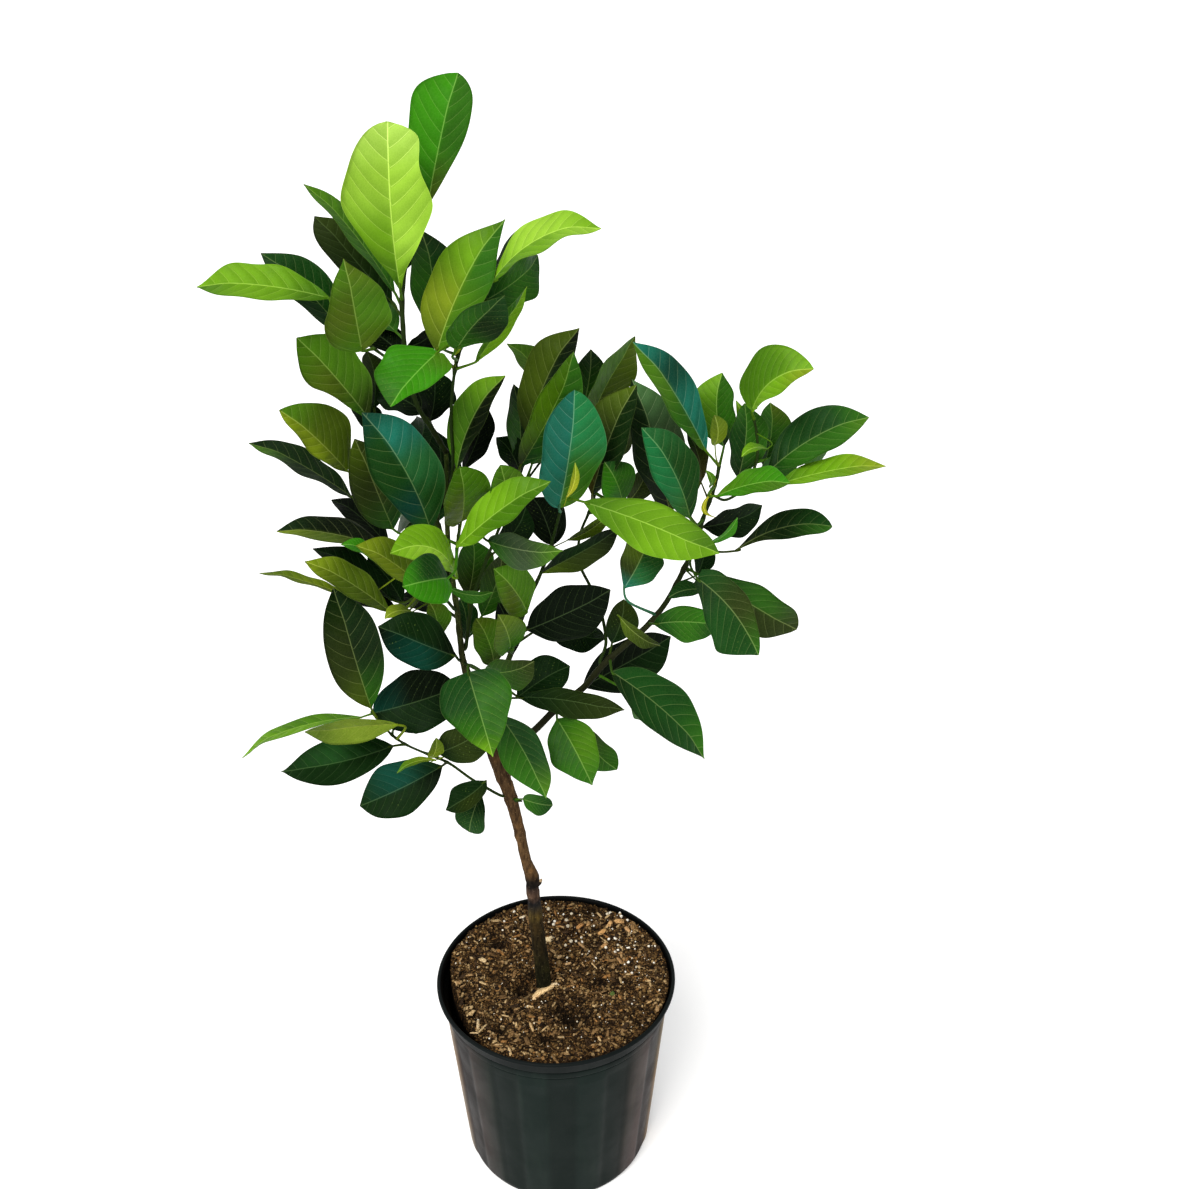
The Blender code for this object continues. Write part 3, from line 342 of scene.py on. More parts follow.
# A leaf: tones from its tip to its base, each "left/right" where its halves differ (the levels and halves
# paint the leaf's light and shade with its colour: a lit half beside a shaded one, a base darker in shade),
# base and tip spots, depth of the base, how much farther back the tip lies, full width, width as seen (in
# spots, its sign says which way the face turns), fold of each half towards the upper face in degrees, bulge
# of the midrib towards the upper face and to the right as seen, outline, and whether the underside is seen
leaf = namedtuple("leaf", "tone base tip depth lean wide shown fold arch bow form under",
                  defaults=(12, 5, 0, "oval", False))

# A shoot: the piece that carries it, after AT_TIP if the stem grows on from that piece's end, its stem as
# (spot, depth), stem radii at foot and end, leaves
AT_TIP = "tip:"
Shoot = namedtuple("Shoot", "parent stem foot end leaves")

SHOOTS = {
    "shoot_leader": Shoot("tip:trunk", (
        ((446, 451), 0), ((432, 429), -6), ((418, 407), -10), ((408, 375), -14), ((404, 340), -16),
        ((402, 300), -16), ((405, 266), -10)), 2.4, 2.0, (
        leaf("pale>lime>bright/lime>mid/bright", (400, 288), (388, 121), -34, -8, 76, 88, form="spoon",
             arch=8, bow=-4),
        leaf("vivid/green>vivid/green>green/olive", (427, 210), (456, 71), -2, 14, 64, -62, form="club",
             fold=24, bow=1),
        leaf("mid>green", (395, 293), (306, 181), -6, 8, 36, 22),
        leaf("olivedark>dark", (392, 303), (316, 213), 20, 25, 58, 46, bow=-4),
        leaf("black", (408, 346), (438, 326), 4, 4, 28, 20),
        leaf("dark", (402, 272), (389, 186), 22, 66, 52, 40),
        leaf("green", (396, 332), (350, 302), 30, 60, 48, 36),
        leaf("black", (402, 356), (366, 330), 22, 30, 36, 30),
        leaf("dark>black", (425, 414), (378, 391), 16, 14, 50, 38),
        leaf("dark>black", (430, 421), (433, 368), 16, 14, 44, 36),
    )),
    "shoot_upper_left": Shoot("shoot_leader", (
        ((411, 384), -12), ((396, 366), -22), ((372, 347), -24), ((350, 328), -25), ((334, 313), -25)),
        1.7, 1.1, (
        leaf("mid/olive>olive/mid>mid/olive", (362, 351), (346, 261), -46, -36, 62, 67, form="sharp", bow=-2),
        leaf("mid/bright>bright>mid", (329, 298), (195, 284), -30, 0, 44, 36, fold=14, arch=7),
        leaf("deep", (344, 334), (262, 250), 0, 12, 54, 42),
    )),
    "shoot_mid_left": Shoot("trunk", (
        ((449, 545), 0), ((436, 520), 10), ((415, 490), 16), ((398, 460), 20), ((384, 436), 20),
        ((374, 420), 18)), 2.0, 1.2, (
        leaf("mid>olive/mid>green/olivedark", (369, 419), (298, 337), 0, -20, 62, 62, form="skew"),
        leaf("olive/olivedark>olivedark>green/deep", (393, 529), (357, 439), -4, -14, 58, 54, bow=-3),
        leaf("yellow/mid>yellow/olive>olive", (347, 471), (281, 409), 2, -26, 56, 52, fold=8, form="lop"),
        leaf("mid/dark>dark>dark", (352, 497), (250, 439), 34, 4, 44, 24, bow=-1),
        leaf("olivedark>dark", (374, 408), (368, 350), 40, 20, 40, 30),
        leaf("dark>black", (438, 512), (438, 430), 26, 10, 44, 34),
        leaf("dark", (378, 438), (352, 402), 28, 10, 32, 24),
    )),
    "shoot_low_left_mid": Shoot("trunk", (
        ((458, 617), -3), ((441, 606), 10), ((421, 592), 15), ((401, 574), 18), ((388, 557), 18)),
        1.8, 1.1, (
        leaf("vivid", (375, 560), (341, 543), -12, -6, 22, 13),
        leaf("yellow/dark>olive/black>dark/black", (384, 548), (276, 529), 14, 4, 44, 26, fold=16, bow=1),
        leaf("black", (388, 546), (332, 497), 50, 24, 42, 26),
        leaf("dark", (392, 600), (314, 545), 32, 6, 42, 24),
        leaf("yellow>olive>olive", (389, 611), (306, 559), -2, -10, 40, 30),
        leaf("olive>yellow", (352, 597), (260, 569), 14, 0, 20, 9, bow=-3),
        leaf("dark", (402, 602), (368, 556), 50, 16, 38, 30),
        leaf("yellow>olive", (412, 612), (384, 618), -14, -14, 20, 12),
        leaf("black", (436, 612), (396, 596), 66, 24, 36, 24),
        leaf("black", (396, 612), (353, 599), 24, 10, 28, 18),
        leaf("dark>black", (427, 596), (436, 546), 34, 12, 40, 32),
    )),
    "shoot_front": Shoot("trunk", (
        ((457, 607), -3), ((449, 603), -16), ((442, 594), -24), ((449, 581), -30), ((455, 562), -32),
        ((458, 540), -34), ((459, 524), -34)), 1.8, 1.0, (
        leaf("vivid>vivid/deep>vivid/deep", (448, 578), (404, 586), -96, -52, 48, 52, form="round"),
        leaf("bright>lime/bright>bright", (457, 578), (390, 552), -62, -30, 48, 38, bow=14, fold=8),
        leaf("yellow>yellow/olive>olive", (425, 590), (358, 543), -40, -20, 46, 32, fold=18),
        leaf("green", (448, 587), (493, 594), -44, -15, 22, 12, fold=14),
        leaf("mid>bright/mid>bright", (457, 547), (548, 479), -64, -14, 46, -36, fold=14),
        leaf("mid>olive/mid>olive", (461, 522), (461, 468), -26, -44, 52, 46, form="round"),
        leaf("tealdark>deep/teal>deep/bluegreen>tealdark/deep>green/deep", (431, 532), (364, 412), -40, -8,
             66, 66, bow=5),
    )),
    "shoot_top_centre": Shoot("trunk", (
        ((448, 497), -1), ((452, 480), -10), ((453, 455), -13), ((451, 420), -13), ((453, 385), -12),
        ((457, 360), -8), ((466, 335), 0), ((478, 311), 5), ((486, 293), 6)), 1.9, 1.1, (
        leaf("vivid/green>vivid>mid/vivid", (438, 352), (389, 405), -36, -44, 60, 58, form="fan", bow=-1),
        leaf("mid/green>bright/green>yellow/mid>olive/mid", (437, 352), (503, 217), -18, 14, 60, -60, fold=14,
             bow=-4, form="sharp"),
        leaf("bright/lime>lime/bright>bright/mid", (492, 282), (601, 223), -26, -8, 48, -30, fold=10, bow=-9),
        leaf("deep>green>deep", (486, 300), (541, 256), 6, 36, 50, 42),
        leaf("deep>dark", (480, 303), (528, 226), 34, 16, 46, 34),
        leaf("deep>green/dark>green", (457, 349), (505, 298), -52, -34, 52, 43, bow=-7),
        leaf("green/bright>mid/bright", (476, 362), (530, 289), -30, 8, 32, 16, fold=8, bow=-5, form="slim"),
        leaf("yellow", (453, 356), (454, 337), -34, -2, 8, 7),
        leaf("dark>green/deep>deep", (436, 335), (424, 229), 40, 12, 56, 50),
        leaf("bright/black>mid/black>mid/dark", (457, 468), (503, 374), -14, 4, 44, -34, fold=24, bow=-4),
        leaf("green", (472, 326), (466, 268), 44, 70, 50, 34),
        leaf("black", (463, 470), (486, 402), 8, 12, 32, 24),
    )),
    "shoot_centre_back": Shoot("trunk", (
        ((461, 648), -3), ((472, 602), 8), ((484, 566), 10), ((494, 541), 8), ((507, 508), 6),
        ((517, 480), 6), ((525, 456), 6)), 2.0, 1.2, (
        leaf("mid/green>bright/green>olivedark/deep", (520, 467), (577, 354), -6, -2, 50, 42, fold=14),
        leaf("olive/black>olive/dark>olivedark", (527, 436), (576, 326), 20, 8, 54, -44, fold=14, bow=-2),
        leaf("mid>olive", (550, 392), (508, 341), 56, 14, 42, 28, form="sharp"),
        leaf("dark>green/dark>dark", (522, 470), (517, 384), 34, 10, 46, 32, bow=-3),
        leaf("mid>mid/olive>green", (505, 520), (502, 466), -20, -30, 42, 38, form="round"),
        leaf("mid>greydark>deep/green", (488, 541), (562, 553), -50, -30, 42, 34, form="sharp"),
        leaf("dark>black", (520, 474), (497, 436), 18, 6, 34, 26),
        leaf("dark>black", (500, 548), (527, 508), 12, 2, 36, 30),
        leaf("green>olivedark", (468, 596), (474, 538), 30, 22, 46, 38),
        leaf("olivedark>green", (482, 616), (504, 554), 30, 24, 42, 34),
        leaf("deep", (466, 640), (461, 598), 18, 12, 28, 22),
    )),
    "shoot_centre": Shoot("trunk", (
        ((484, 718), 0), ((497, 690), -6), ((507, 662), -8), ((517, 635), -9), ((526, 605), -9),
        ((540, 575), -8), ((551, 545), -9), ((558, 520), -11), ((562, 505), -12)), 2.9, 1.3, (
        leaf("teal/jade>teal/jade>teal/green>teal/mid", (559, 508), (576, 391), -34, -14, 64, 62,
             form="round"),
        leaf("yellow>gold", (567, 497), (576, 463), -50, -8, 9, 8),
        leaf("mid/bright>bright>mid", (584, 502), (719, 557), -50, -20, 54, 50, bow=-6),
        leaf("black", (553, 545), (533, 496), 18, 34, 46, 40, form="round"),
        leaf("mid>olive/mid>mid", (527, 612), (496, 569), -20, -32, 48, 42),
        leaf("olive>green", (510, 650), (500, 616), -42, -36, 40, 36),
        leaf("black", (527, 630), (611, 591), -8, -4, 58, 54),
        leaf("dark>black", (548, 622), (606, 640), 42, 8, 44, 30),
        leaf("black>dark/olivedark>black/olive", (541, 573), (620, 530), -8, -4, 40, 26, fold=14, bow=-3),
        leaf("olive", (568, 540), (612, 511), -2, -4, 18, 13),
        leaf("dark", (517, 698), (570, 665), -10, 20, 50, -42),
        leaf("olivedark>dark", (518, 697), (624, 714), -26, -6, 40, 28, bow=-8),
        leaf("mid/green>deep/green>deep", (500, 716), (545, 800), -44, -30, 54, 44, bow=-7, form="sharp"),
        leaf("dark", (550, 622), (588, 602), 60, 62, 46, 32),
        leaf("green", (498, 684), (480, 704), 30, 80, 50, 34),
        leaf("olive>mid>olivedark", (494, 664), (477, 618), -14, 2, 42, 34, form="round"),
        leaf("black", (512, 656), (499, 602), 20, 14, 34, 26),
    )),
    "shoot_spur": Shoot("trunk", (
        ((464, 662), -2), ((470, 666), -14), ((478, 670), -22), ((484, 673), -26)), 1.7, 1.4, (
        leaf("mid/bright>green>green/deep>deep", (468, 672), (493, 757), -70, -52, 70, 76, form="heart",
             fold=8),
        leaf("olivedark>green", (487, 672), (534, 663), -32, -24, 46, 32),
    )),
    "shoot_spur_left": Shoot("trunk", (
        ((463, 658), -2), ((452, 651), -12), ((441, 642), -18)), 1.6, 1.1, (
        leaf("black/dark>tealdark/dark>dark/black", (455, 656), (379, 625), -36, -18, 58, 54, bow=-3),
        leaf("olive>mid>olive", (438, 638), (430, 601), -14, -4, 32, 26),
    )),
    "shoot_right": Shoot("trunk", (
        ((499, 765), 0), ((515, 748), -2), ((537, 728), -4), ((560, 705), -6), ((583, 688), -6),
        ((602, 666), -6), ((624, 646), -4), ((647, 626), -2), ((667, 601), 0), ((684, 569), 2),
        ((694, 548), 4), ((700, 528), 6), ((705, 513), 6)), 4.4, 2.0, (
        leaf("green>mid/green>green", (557, 719), (592, 786), -20, -44, 54, 50, bow=-3, form="sharp"),
        leaf("green>olivedark", (572, 722), (617, 771), 0, -6, 46, 34),
        leaf("green/deep>deep>deep/dark", (612, 672), (709, 758), -36, -26, 60, -50, bow=-3, form="sharp"),
        leaf("black/dark>black", (583, 687), (672, 638), 26, 12, 60, 50, bow=-2),
        leaf("olivedark>dark", (612, 643), (625, 599), 8, 12, 38, 31),
        leaf("olivedark>olive", (620, 617), (660, 647), -24, -10, 24, 15),
        leaf("green>olive/deep>olivedark/bluegreen>teal", (624, 588), (648, 540), -22, 30, 48, 44,
             form="broad"),
        leaf("vivid/deep>green>deep", (654, 624), (722, 626), -22, -16, 44, 36, bow=-6),
        leaf("green/deep>olivedark/deep>deep/dark", (697, 578), (758, 656), -44, -34, 60, 58, bow=-9,
             form="wing"),
        leaf("olivedark>green/olivedark>deep", (705, 578), (797, 632), 0, -4, 54, 46, bow=-3, form="round"),
        leaf("deep", (705, 590), (668, 597), -18, -6, 22, 16),
        leaf("deep/green>dark>black/olivedark", (735, 551), (833, 525), -6, 0, 38, -30, bow=-7, form="club"),
        leaf("dark>black", (703, 527), (764, 507), 26, 4, 42, 30),
        leaf("dark", (697, 575), (704, 540), 18, 20, 28, 22),
        leaf("vivid", (708, 543), (738, 518), -22, -6, 16, 8),
        leaf("jade/bluegreen>jade/deep>green/deep", (690, 518), (644, 427), -26, -12, 52, 46, bow=3),
        leaf("dark/grey>dark/greydark>black/olivedark", (670, 515), (635, 379), 20, 4, 60, 52),
        leaf("olive", (686, 506), (667, 440), 46, 66, 50, 34),
        leaf("green", (632, 693), (672, 712), 10, 76, 48, 34),
    )),
    "shoot_right_mid": Shoot("shoot_right", (
        ((603, 665), -6), ((606, 642), 6), ((601, 612), 12), ((591, 588), 14), ((579, 562), 14),
        ((580, 535), 14), ((589, 512), 12), ((595, 492), 12), ((593, 468), 15), ((590, 446), 18)),
        1.9, 1.1, (
        leaf("olive/dark>olivedark/dark>brown/dark", (592, 495), (634, 384), -10, -4, 56, -44),
        leaf("green/deep>vivid/green>green", (622, 502), (605, 462), -22, -14, 42, 38),
        leaf("mid/olive>mid/olive>olive/olivedark", (590, 425), (638, 339), 36, 8, 56, 34, bow=-9),
        leaf("dark>green", (580, 420), (592, 349), 64, 12, 38, 34),
        leaf("olivedark", (628, 502), (648, 466), 36, 10, 30, 24),
        leaf("olivedark", (602, 462), (618, 402), 54, 66, 50, 34),
    )),
    "shoot_right_crown": Shoot("tip:shoot_right", (
        ((705, 512), 6), ((712, 495), 4), ((717, 478), 2), ((719, 466), 0)), 2.0, 1.1, (
        leaf("mid/teal>mid/tealdark>green/teal>mid/teal", (706, 451), (637, 340), -10, -14, 46, 36, fold=14),
        leaf("bright/green>mid/green>green/dark", (724, 446), (721, 372), 26, 14, 50, -43, fold=16, bow=-3),
        leaf("olive>yellow", (715, 445), (715, 415), -26, -8, 19, 17, form="round"),
        leaf("dark>brown", (701, 482), (688, 432), 18, 6, 24, 16),
        leaf("vivid/mid>mid/vivid", (717, 496), (790, 480), -34, -16, 38, -26, form="broad"),
        leaf("gold", (711, 494), (715, 518), -8, -4, 6, 5, bow=6),
        leaf("mid", (710, 487), (706, 470), -8, -4, 9, 7),
    )),
    "shoot_far_right": Shoot("shoot_right_crown", (
        ((712, 496), 4), ((725, 500), 12), ((738, 493), 14), ((750, 478), 12), ((757, 458), 8),
        ((757, 436), 6), ((754, 419), 4)), 1.5, 1.1, (
        leaf("bright/yellow>mid/bright>mid/bright", (752, 411), (813, 367), -4, -26, 54, -50, bow=-9,
             form="shell"),
        leaf("green>deep/green>dark", (738, 478), (746, 403), 10, 14, 50, 38),
        leaf("green/olive>green>deep", (764, 466), (772, 402), 40, 12, 46, 36),
        leaf("green/mid>deep/green>deep/green>dark/deep", (768, 472), (869, 415), 4, 4, 56, -46, bow=-4),
        leaf("yellow>bright>mid/bright", (776, 485), (886, 463), -20, -10, 36, -22, bow=1),
        leaf("bright>mid", (767, 449), (741, 456), -34, -10, 15, 9),
        leaf("bright", (737, 432), (737, 400), 26, 0, 10, 8),
        leaf("green", (792, 452), (836, 432), 44, 56, 46, 30),
        leaf("green>deep", (750, 488), (796, 446), 24, 10, 40, 30),
    )),
    "shoot_low_left": Shoot("trunk", (
        ((502, 793), 0), ((485, 787), -14), ((470, 778), -18), ((452, 765), -20), ((438, 758), -22),
        ((420, 751), -20), ((405, 744), -17), ((392, 735), -15), ((380, 722), -13), ((372, 712), -11)),
        1.7, 1.0, (
        leaf("black>black/dark>tealdark/dark", (373, 713), (458, 687), 0, 24, 66, 64, bow=2, form="round"),
        leaf("dark>olivedark/dark>olive/green", (371, 708), (336, 589), -14, 4, 62, 57, bow=-3),
        leaf("mid/bright>bright/mid>mid", (362, 717), (238, 753), -16, -8, 30, 13, fold=8, bow=4),
        leaf("olive>yellow>yellow", (398, 725), (305, 735), -36, -16, 44, 25, bow=6, under=True),
        leaf("dark>dark/deep>dark", (393, 746), (279, 770), -16, -4, 54, 46, bow=-7, form="sharp"),
        leaf("dark>dark/tealdark>black/dark", (442, 766), (359, 806), -36, -20, 58, 54, bow=-3),
        leaf("mid>yellow", (436, 760), (396, 772), -52, -18, 14, 7),
        leaf("olive>yellow", (430, 758), (437, 738), -34, -4, 18, 14),
        leaf("dark>olivedark>dark", (437, 753), (488, 727), -22, -2, 50, 40),
        leaf("dark>olivedark/dark>dark", (486, 781), (445, 809), -28, -24, 38, 27, bow=-6),
        leaf("deep>dark", (482, 789), (468, 833), -12, -20, 40, 33, bow=-1, form="club"),
        leaf("green", (398, 724), (424, 698), 20, 66, 50, 32),
    )),
    "shoot_back_left": Shoot("trunk", (
        ((450, 556), -3), ((446, 548), 22), ((438, 530), 52), ((428, 508), 82), ((418, 484), 112),
        ((410, 462), 136)), 1.9, 1.1, (
        leaf("dark", (413, 468), (392, 430), 132, 56, 52, 34),
        leaf("deep>dark", (424, 500), (398, 522), 92, 66, 50, 32),
        leaf("deep", (437, 522), (441, 442), 68, 44, 50, 34),
        leaf("deep>dark", (434, 528), (404, 560), 56, 84, 50, 32),
        leaf("dark", (411, 458), (425, 418), 136, 36, 50, 34),
        leaf("dark", (420, 488), (378, 474), 106, 30, 48, 30),
    )),
    "shoot_back_right": Shoot("shoot_centre_back", (
        ((510, 499), 6), ((515, 496), 34), ((530, 476), 66), ((548, 452), 96), ((560, 437), 120)),
        1.5, 1.1, (
        leaf("green>deep", (546, 448), (553, 400), 92, 40, 52, 36),
        leaf("mid>green", (562, 434), (586, 412), 120, 56, 50, 30),
        leaf("green", (556, 446), (576, 478), 102, 62, 50, 32),
        leaf("mid>green", (532, 464), (522, 428), 62, 86, 50, 32),
    )),
    "shoot_low_right": Shoot("trunk", (
        ((509, 797), 0), ((516, 801), -8), ((522, 801), -10)), 1.3, 1.1, (
        leaf("deep>green", (523, 799), (553, 806), -12, -8, 28, 20, bow=-2, form="round"),
    )),
}


def sight(spot, depth):
    """Point on the sight line of a spot, `depth` behind the pot's axis."""
    across = (spot[0] - VIEW_MIDDLE[0]) / VIEW_FOCAL
    down = (spot[1] - VIEW_MIDDLE[1]) / VIEW_FOCAL
    ray = Vector((across,
                  cos(VIEW_TILT) - sin(VIEW_TILT) * down,
                  -sin(VIEW_TILT) - cos(VIEW_TILT) * down))
    return VIEW_PLACE + ray * ((depth - VIEW_PLACE.y) / ray.y)


def smooth_route(knots, steps):
    """Points of a smooth curve through the knots, `steps` to each stretch."""
    ends = [knots[0] * 2 - knots[1]] + list(knots) + [knots[-1] * 2 - knots[-2]]
    points = []
    for a, b, c, d in zip(ends, ends[1:], ends[2:], ends[3:]):
        for step in range(steps):
            t = step / steps
            points.append((b * 2 + (c - a) * t + (a * 2 - b * 5 + c * 4 - d) * t * t
                           + (b * 3 - a - c * 3 + d) * t * t * t) * 0.5)
    points.append(knots[-1].copy())
    return points


def spread(values, steps):
    """Values between the given ones, `steps` to each stretch, as smooth_route has points."""
    shares = np.linspace(0, len(values) - 1, (len(values) - 1) * steps + 1)
    return list(np.interp(shares, range(len(values)), values))


def tangents(points):
    """Direction of travel at each point of a route."""
    ends = [points[0], *points, points[-1]]
    return [(after - before).normalized() for before, after in zip(ends, ends[2:])]


def nearest_on(route, radii, point):
    """Point, direction and radius of a route where it passes nearest to a point."""
    best = None
    for (a, b), (ra, rb) in zip(zip(route, route[1:]), zip(radii, radii[1:])):
        run = b - a
        share = min(1.0, max(0.0, (point - a).dot(run) / run.length_squared))
        spot = a + run * share
        if best is None or (spot - point).length < best[0]:
            best = ((spot - point).length, spot, run.normalized(), ra + (rb - ra) * share)
    return best[1:]


def mark_tone(mesh, tones):
    """Store one tone for each point of a mesh."""
    rgba = np.c_[np.array(tones), np.ones(len(tones))].astype(np.float32)
    mesh.attributes.new("tone", "FLOAT_COLOR", "POINT").data.foreach_set("color", rgba.ravel())


class Patchwork:
    """Points and faces of one mesh, with the marks that its materials read."""

    def __init__(self):
        self.points = []
        self.faces = []
        self.slots = []
        self.tone = []
        self.grain = []
        self.rim = []

    def add(self, points, faces, slot, tone, grain=None, rim=None):
        start = len(self.points)
        count = len(points)
        self.points.extend(points)
        self.faces.extend([tuple(start + k for k in face) for face in faces])
        self.slots.extend([slot] * len(faces))
        self.tone.extend(np.broadcast_to(np.asarray(tone, float), (count, 3)).tolist())
        self.grain.extend(np.zeros((count, 3)).tolist() if grain is None else grain)
        self.rim.extend([0.0] * count if rim is None else rim)

    def build(self, name, materials):
        mesh = bpy.data.meshes.new(name)
        mesh.from_pydata((np.array(self.points) * MM).tolist(), [], self.faces)
        for mat in materials:
            mesh.materials.append(mat)
        mesh.polygons.foreach_set("material_index", self.slots)
        mark_tone(mesh, self.tone)
        grain = mesh.attributes.new("grain", "FLOAT_VECTOR", "POINT")
        grain.data.foreach_set("vector", np.array(self.grain, np.float32).ravel())
        rim = mesh.attributes.new("rim", "FLOAT", "POINT")
        rim.data.foreach_set("value", np.array(self.rim, np.float32))
        mesh.shade_smooth()
        mesh.update()
        return add_object(name, mesh)


def add_object(name, data):
    obj = bpy.data.objects.new(name, data)
    bpy.context.scene.collection.objects.link(obj)
    return obj


def stand_in_for(obj, slot, *nodes):
    """The piece rides on the one body and stands for its nodes, which are hidden; its slot is not used."""
    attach(obj, "root")
    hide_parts(*nodes)


def ring_faces(rings, sides, inward=False):
    """Faces between rings of points, one ring after the other."""
    faces = []
    for row in range(rings - 1):
        for k in range(sides):
            a = row * sides + k
            b = row * sides + (k + 1) % sides
            faces.append((a, a + sides, b + sides, b) if inward else (a, b, b + sides, a + sides))
    return faces


def pipe(points, radii, sides):
    """Points and faces of a round closed tube along a route."""
    ways = tangents(points)
    across = ways[0].orthogonal().normalized()
    verts = []
    for point, way, radius in zip(points, ways, radii):
        across = (across - way * across.dot(way)).normalized()
        up = way.cross(across)
        for k in range(sides):
            angle = 2 * pi * k / sides
            verts.append(tuple(point + across * (radius * cos(angle)) + up * (radius * sin(angle))))
    faces = ring_faces(len(points), sides)
    verts.append(tuple(points[0]))
    verts.append(tuple(points[-1]))
    foot = len(verts) - 2
    last = (len(points) - 1) * sides
    for k in range(sides):
        faces.append((foot, (k + 1) % sides, k))
        faces.append((foot + 1, last + k, last + (k + 1) % sides))
    return verts, faces


def smoothstep(low, high, value):
    share = np.clip((value - low) / (high - low), 0.0, 1.0)
    return share * share * (3 - 2 * share)


# Nodes of materials


def shader_tree(name):
    """New material, its nodes and its Principled shader."""
    mat = bpy.data.materials.new(name)
    mat.use_nodes = True
    return mat, mat.node_tree, mat.node_tree.nodes["Principled BSDF"]


def feed(socket, value):
    """Give a socket a plain value, or link another socket to it."""
    if isinstance(value, bpy.types.NodeSocket):
        socket.id_data.links.new(value, socket)
    else:
        socket.default_value = (*value, 1.0) if socket.type == "RGBA" else value


def tree_of(*values):
    """Node tree of the first socket among the values."""
    return next(value.id_data for value in values if isinstance(value, bpy.types.NodeSocket))


def add_node(tree, kind, settings, inputs):
    node = tree.nodes.new(kind)
    for key, value in settings.items():
        setattr(node, key, value)
    for key, value in inputs.items():
        feed(node.inputs[key], value)
    return node


def attribute(tree, name):
    return add_node(tree, "ShaderNodeAttribute", {"attribute_name": name}, {}).outputs


def maths(operation, *values):
    return add_node(tree_of(*values), "ShaderNodeMath", {"operation": operation},
                    dict(enumerate(values))).outputs[0]


def times(a, b):
    return maths("MULTIPLY", a, b)


def plus(a, b):
    return maths("ADD", a, b)


def ramp(value, low, high, start=0.0, end=1.0):
    """Smooth step of a value from `start` to `end`."""
    return add_node(value.id_data, "ShaderNodeMapRange", {"interpolation_type": "SMOOTHSTEP"}, {
        "Value": value, "From Min": low, "From Max": high, "To Min": start, "To Max": end}).outputs["Result"]


def mix(share, a, b, kind="MIX"):
    return add_node(tree_of(share, a, b), "ShaderNodeMix", {"data_type": "RGBA", "blend_type": kind},
                    {0: share, 6: a, 7: b}).outputs[2]


def tinted(colour, tint):
    """A colour multiplied by a tint."""
    return mix(1.0, colour, tint, "MULTIPLY")


def tone_of(tree):
    return attribute(tree, "tone")["Color"]


def places(tree, stretch=(1.0, 1.0, 1.0)):
    """Object coordinates, stretched."""
    coordinates = tree.nodes.new("ShaderNodeTexCoord").outputs["Object"]
    return add_node(tree, "ShaderNodeMapping", {}, {"Vector": coordinates, "Scale": stretch}).outputs[0]


def clouds(vector, scale, detail=3.0, roughness=0.55):
    return add_node(vector.id_data, "ShaderNodeTexNoise", {}, {
        "Vector": vector, "Scale": scale, "Detail": detail, "Roughness": roughness}).outputs["Fac"]


def cells(vector, scale, feature="F1"):
    return add_node(vector.id_data, "ShaderNodeTexVoronoi", {"feature": feature}, {
        "Vector": vector, "Scale": scale}).outputs


def finish(shader, colour, roughness, gloss, height, strength, distance):
    """Colour, roughness and gloss of a shader, and the relief of its surface."""
    feed(shader.inputs["Base Color"], colour)
    feed(shader.inputs["Roughness"], roughness)
    feed(shader.inputs["Specular IOR Level"], gloss)
    relief = add_node(shader.id_data, "ShaderNodeBump", {}, {
        "Height": height, "Strength": strength, "Distance": distance})
    feed(shader.inputs["Normal"], relief.outputs[0])


# Leaves


def vein_masks(tree):
    """Masks of the net, the side veins and the midrib, and the marks of the rim and between two veins."""
    across, along, phase = add_node(tree, "ShaderNodeSeparateXYZ", {}, {
        0: attribute(tree, "grain")["Vector"]}).outputs
    rim = attribute(tree, "rim")["Fac"]
    midrib = ramp(maths("ABSOLUTE", across), 0.15, 0.85, 1.0, 0.0)
    turn = maths("FRACT", phase)
    from_vein = maths("SUBTRACT", 0.5, maths("ABSOLUTE", maths("SUBTRACT", turn, 0.5)))
    line = ramp(from_vein, 0.008, 0.04, 1.0, 0.0)
    veins = times(line, ramp(rim, 0.7, 0.98, 1.0, 0.15))
    spot = add_node(tree, "ShaderNodeCombineXYZ", {}, {0: across, 1: along, 2: phase}).outputs[0]
    net = ramp(cells(spot, 0.42, "DISTANCE_TO_EDGE")["Distance"], 0.0, 0.16, 1.0, 0.0)
    return (net, veins, midrib), rim, turn


def veined(colour, pale, masks, shares):
    """Colour made paler along net, veins and midrib, by a share for each."""
    for mask, share in zip(masks, shares):
        colour = mix(times(mask, share), colour, pale)
    return colour


def relief_of(masks, heights):
    net, veins, midrib = (times(mask, height) for mask, height in zip(masks, heights))
    return plus(plus(veins, net), midrib)


def upper_face(name, gloss, vein, dull):
    """Upper side of a blade: its own tone, paler thin veins and rim, soft darker patches,
    and painted shade over each panel between two side veins.
    """
    mat, tree, shader = shader_tree(name)
    masks, rim, turn = vein_masks(tree)
    tone = tone_of(tree)
    patches = clouds(places(tree), 26.0, 2.0)
    colour = mix(ramp(patches, 0.35, 0.7, 0.0, 0.55), tone, tinted(tone, (0.62, 0.66, 0.5)))
    # Painted shade across each panel between two side veins: darkest just past a vein, lightest before the
    # next
    colour = mix(ramp(turn, 0.0, 1.0, 0.55, 0.0), colour, tinted(colour, (0.66, 0.70, 0.62)))
    pale = mix(1.0, tinted(tone, (1.5, 1.3, 1.9)), vein, "ADD")
    colour = veined(colour, pale, masks, (0.07, 0.62, 0.95))
    colour = mix(ramp(rim, 0.978, 1.0, 0.0, 0.5), colour, pale)
    wax = clouds(places(tree), 90.0, 2.0)
    finish(shader, colour, ramp(wax, 0.3, 0.75, dull, dull + 0.14), gloss,
           relief_of(masks, (-0.12, -0.8, 0.5)), 0.6, 0.0007)
    return mat


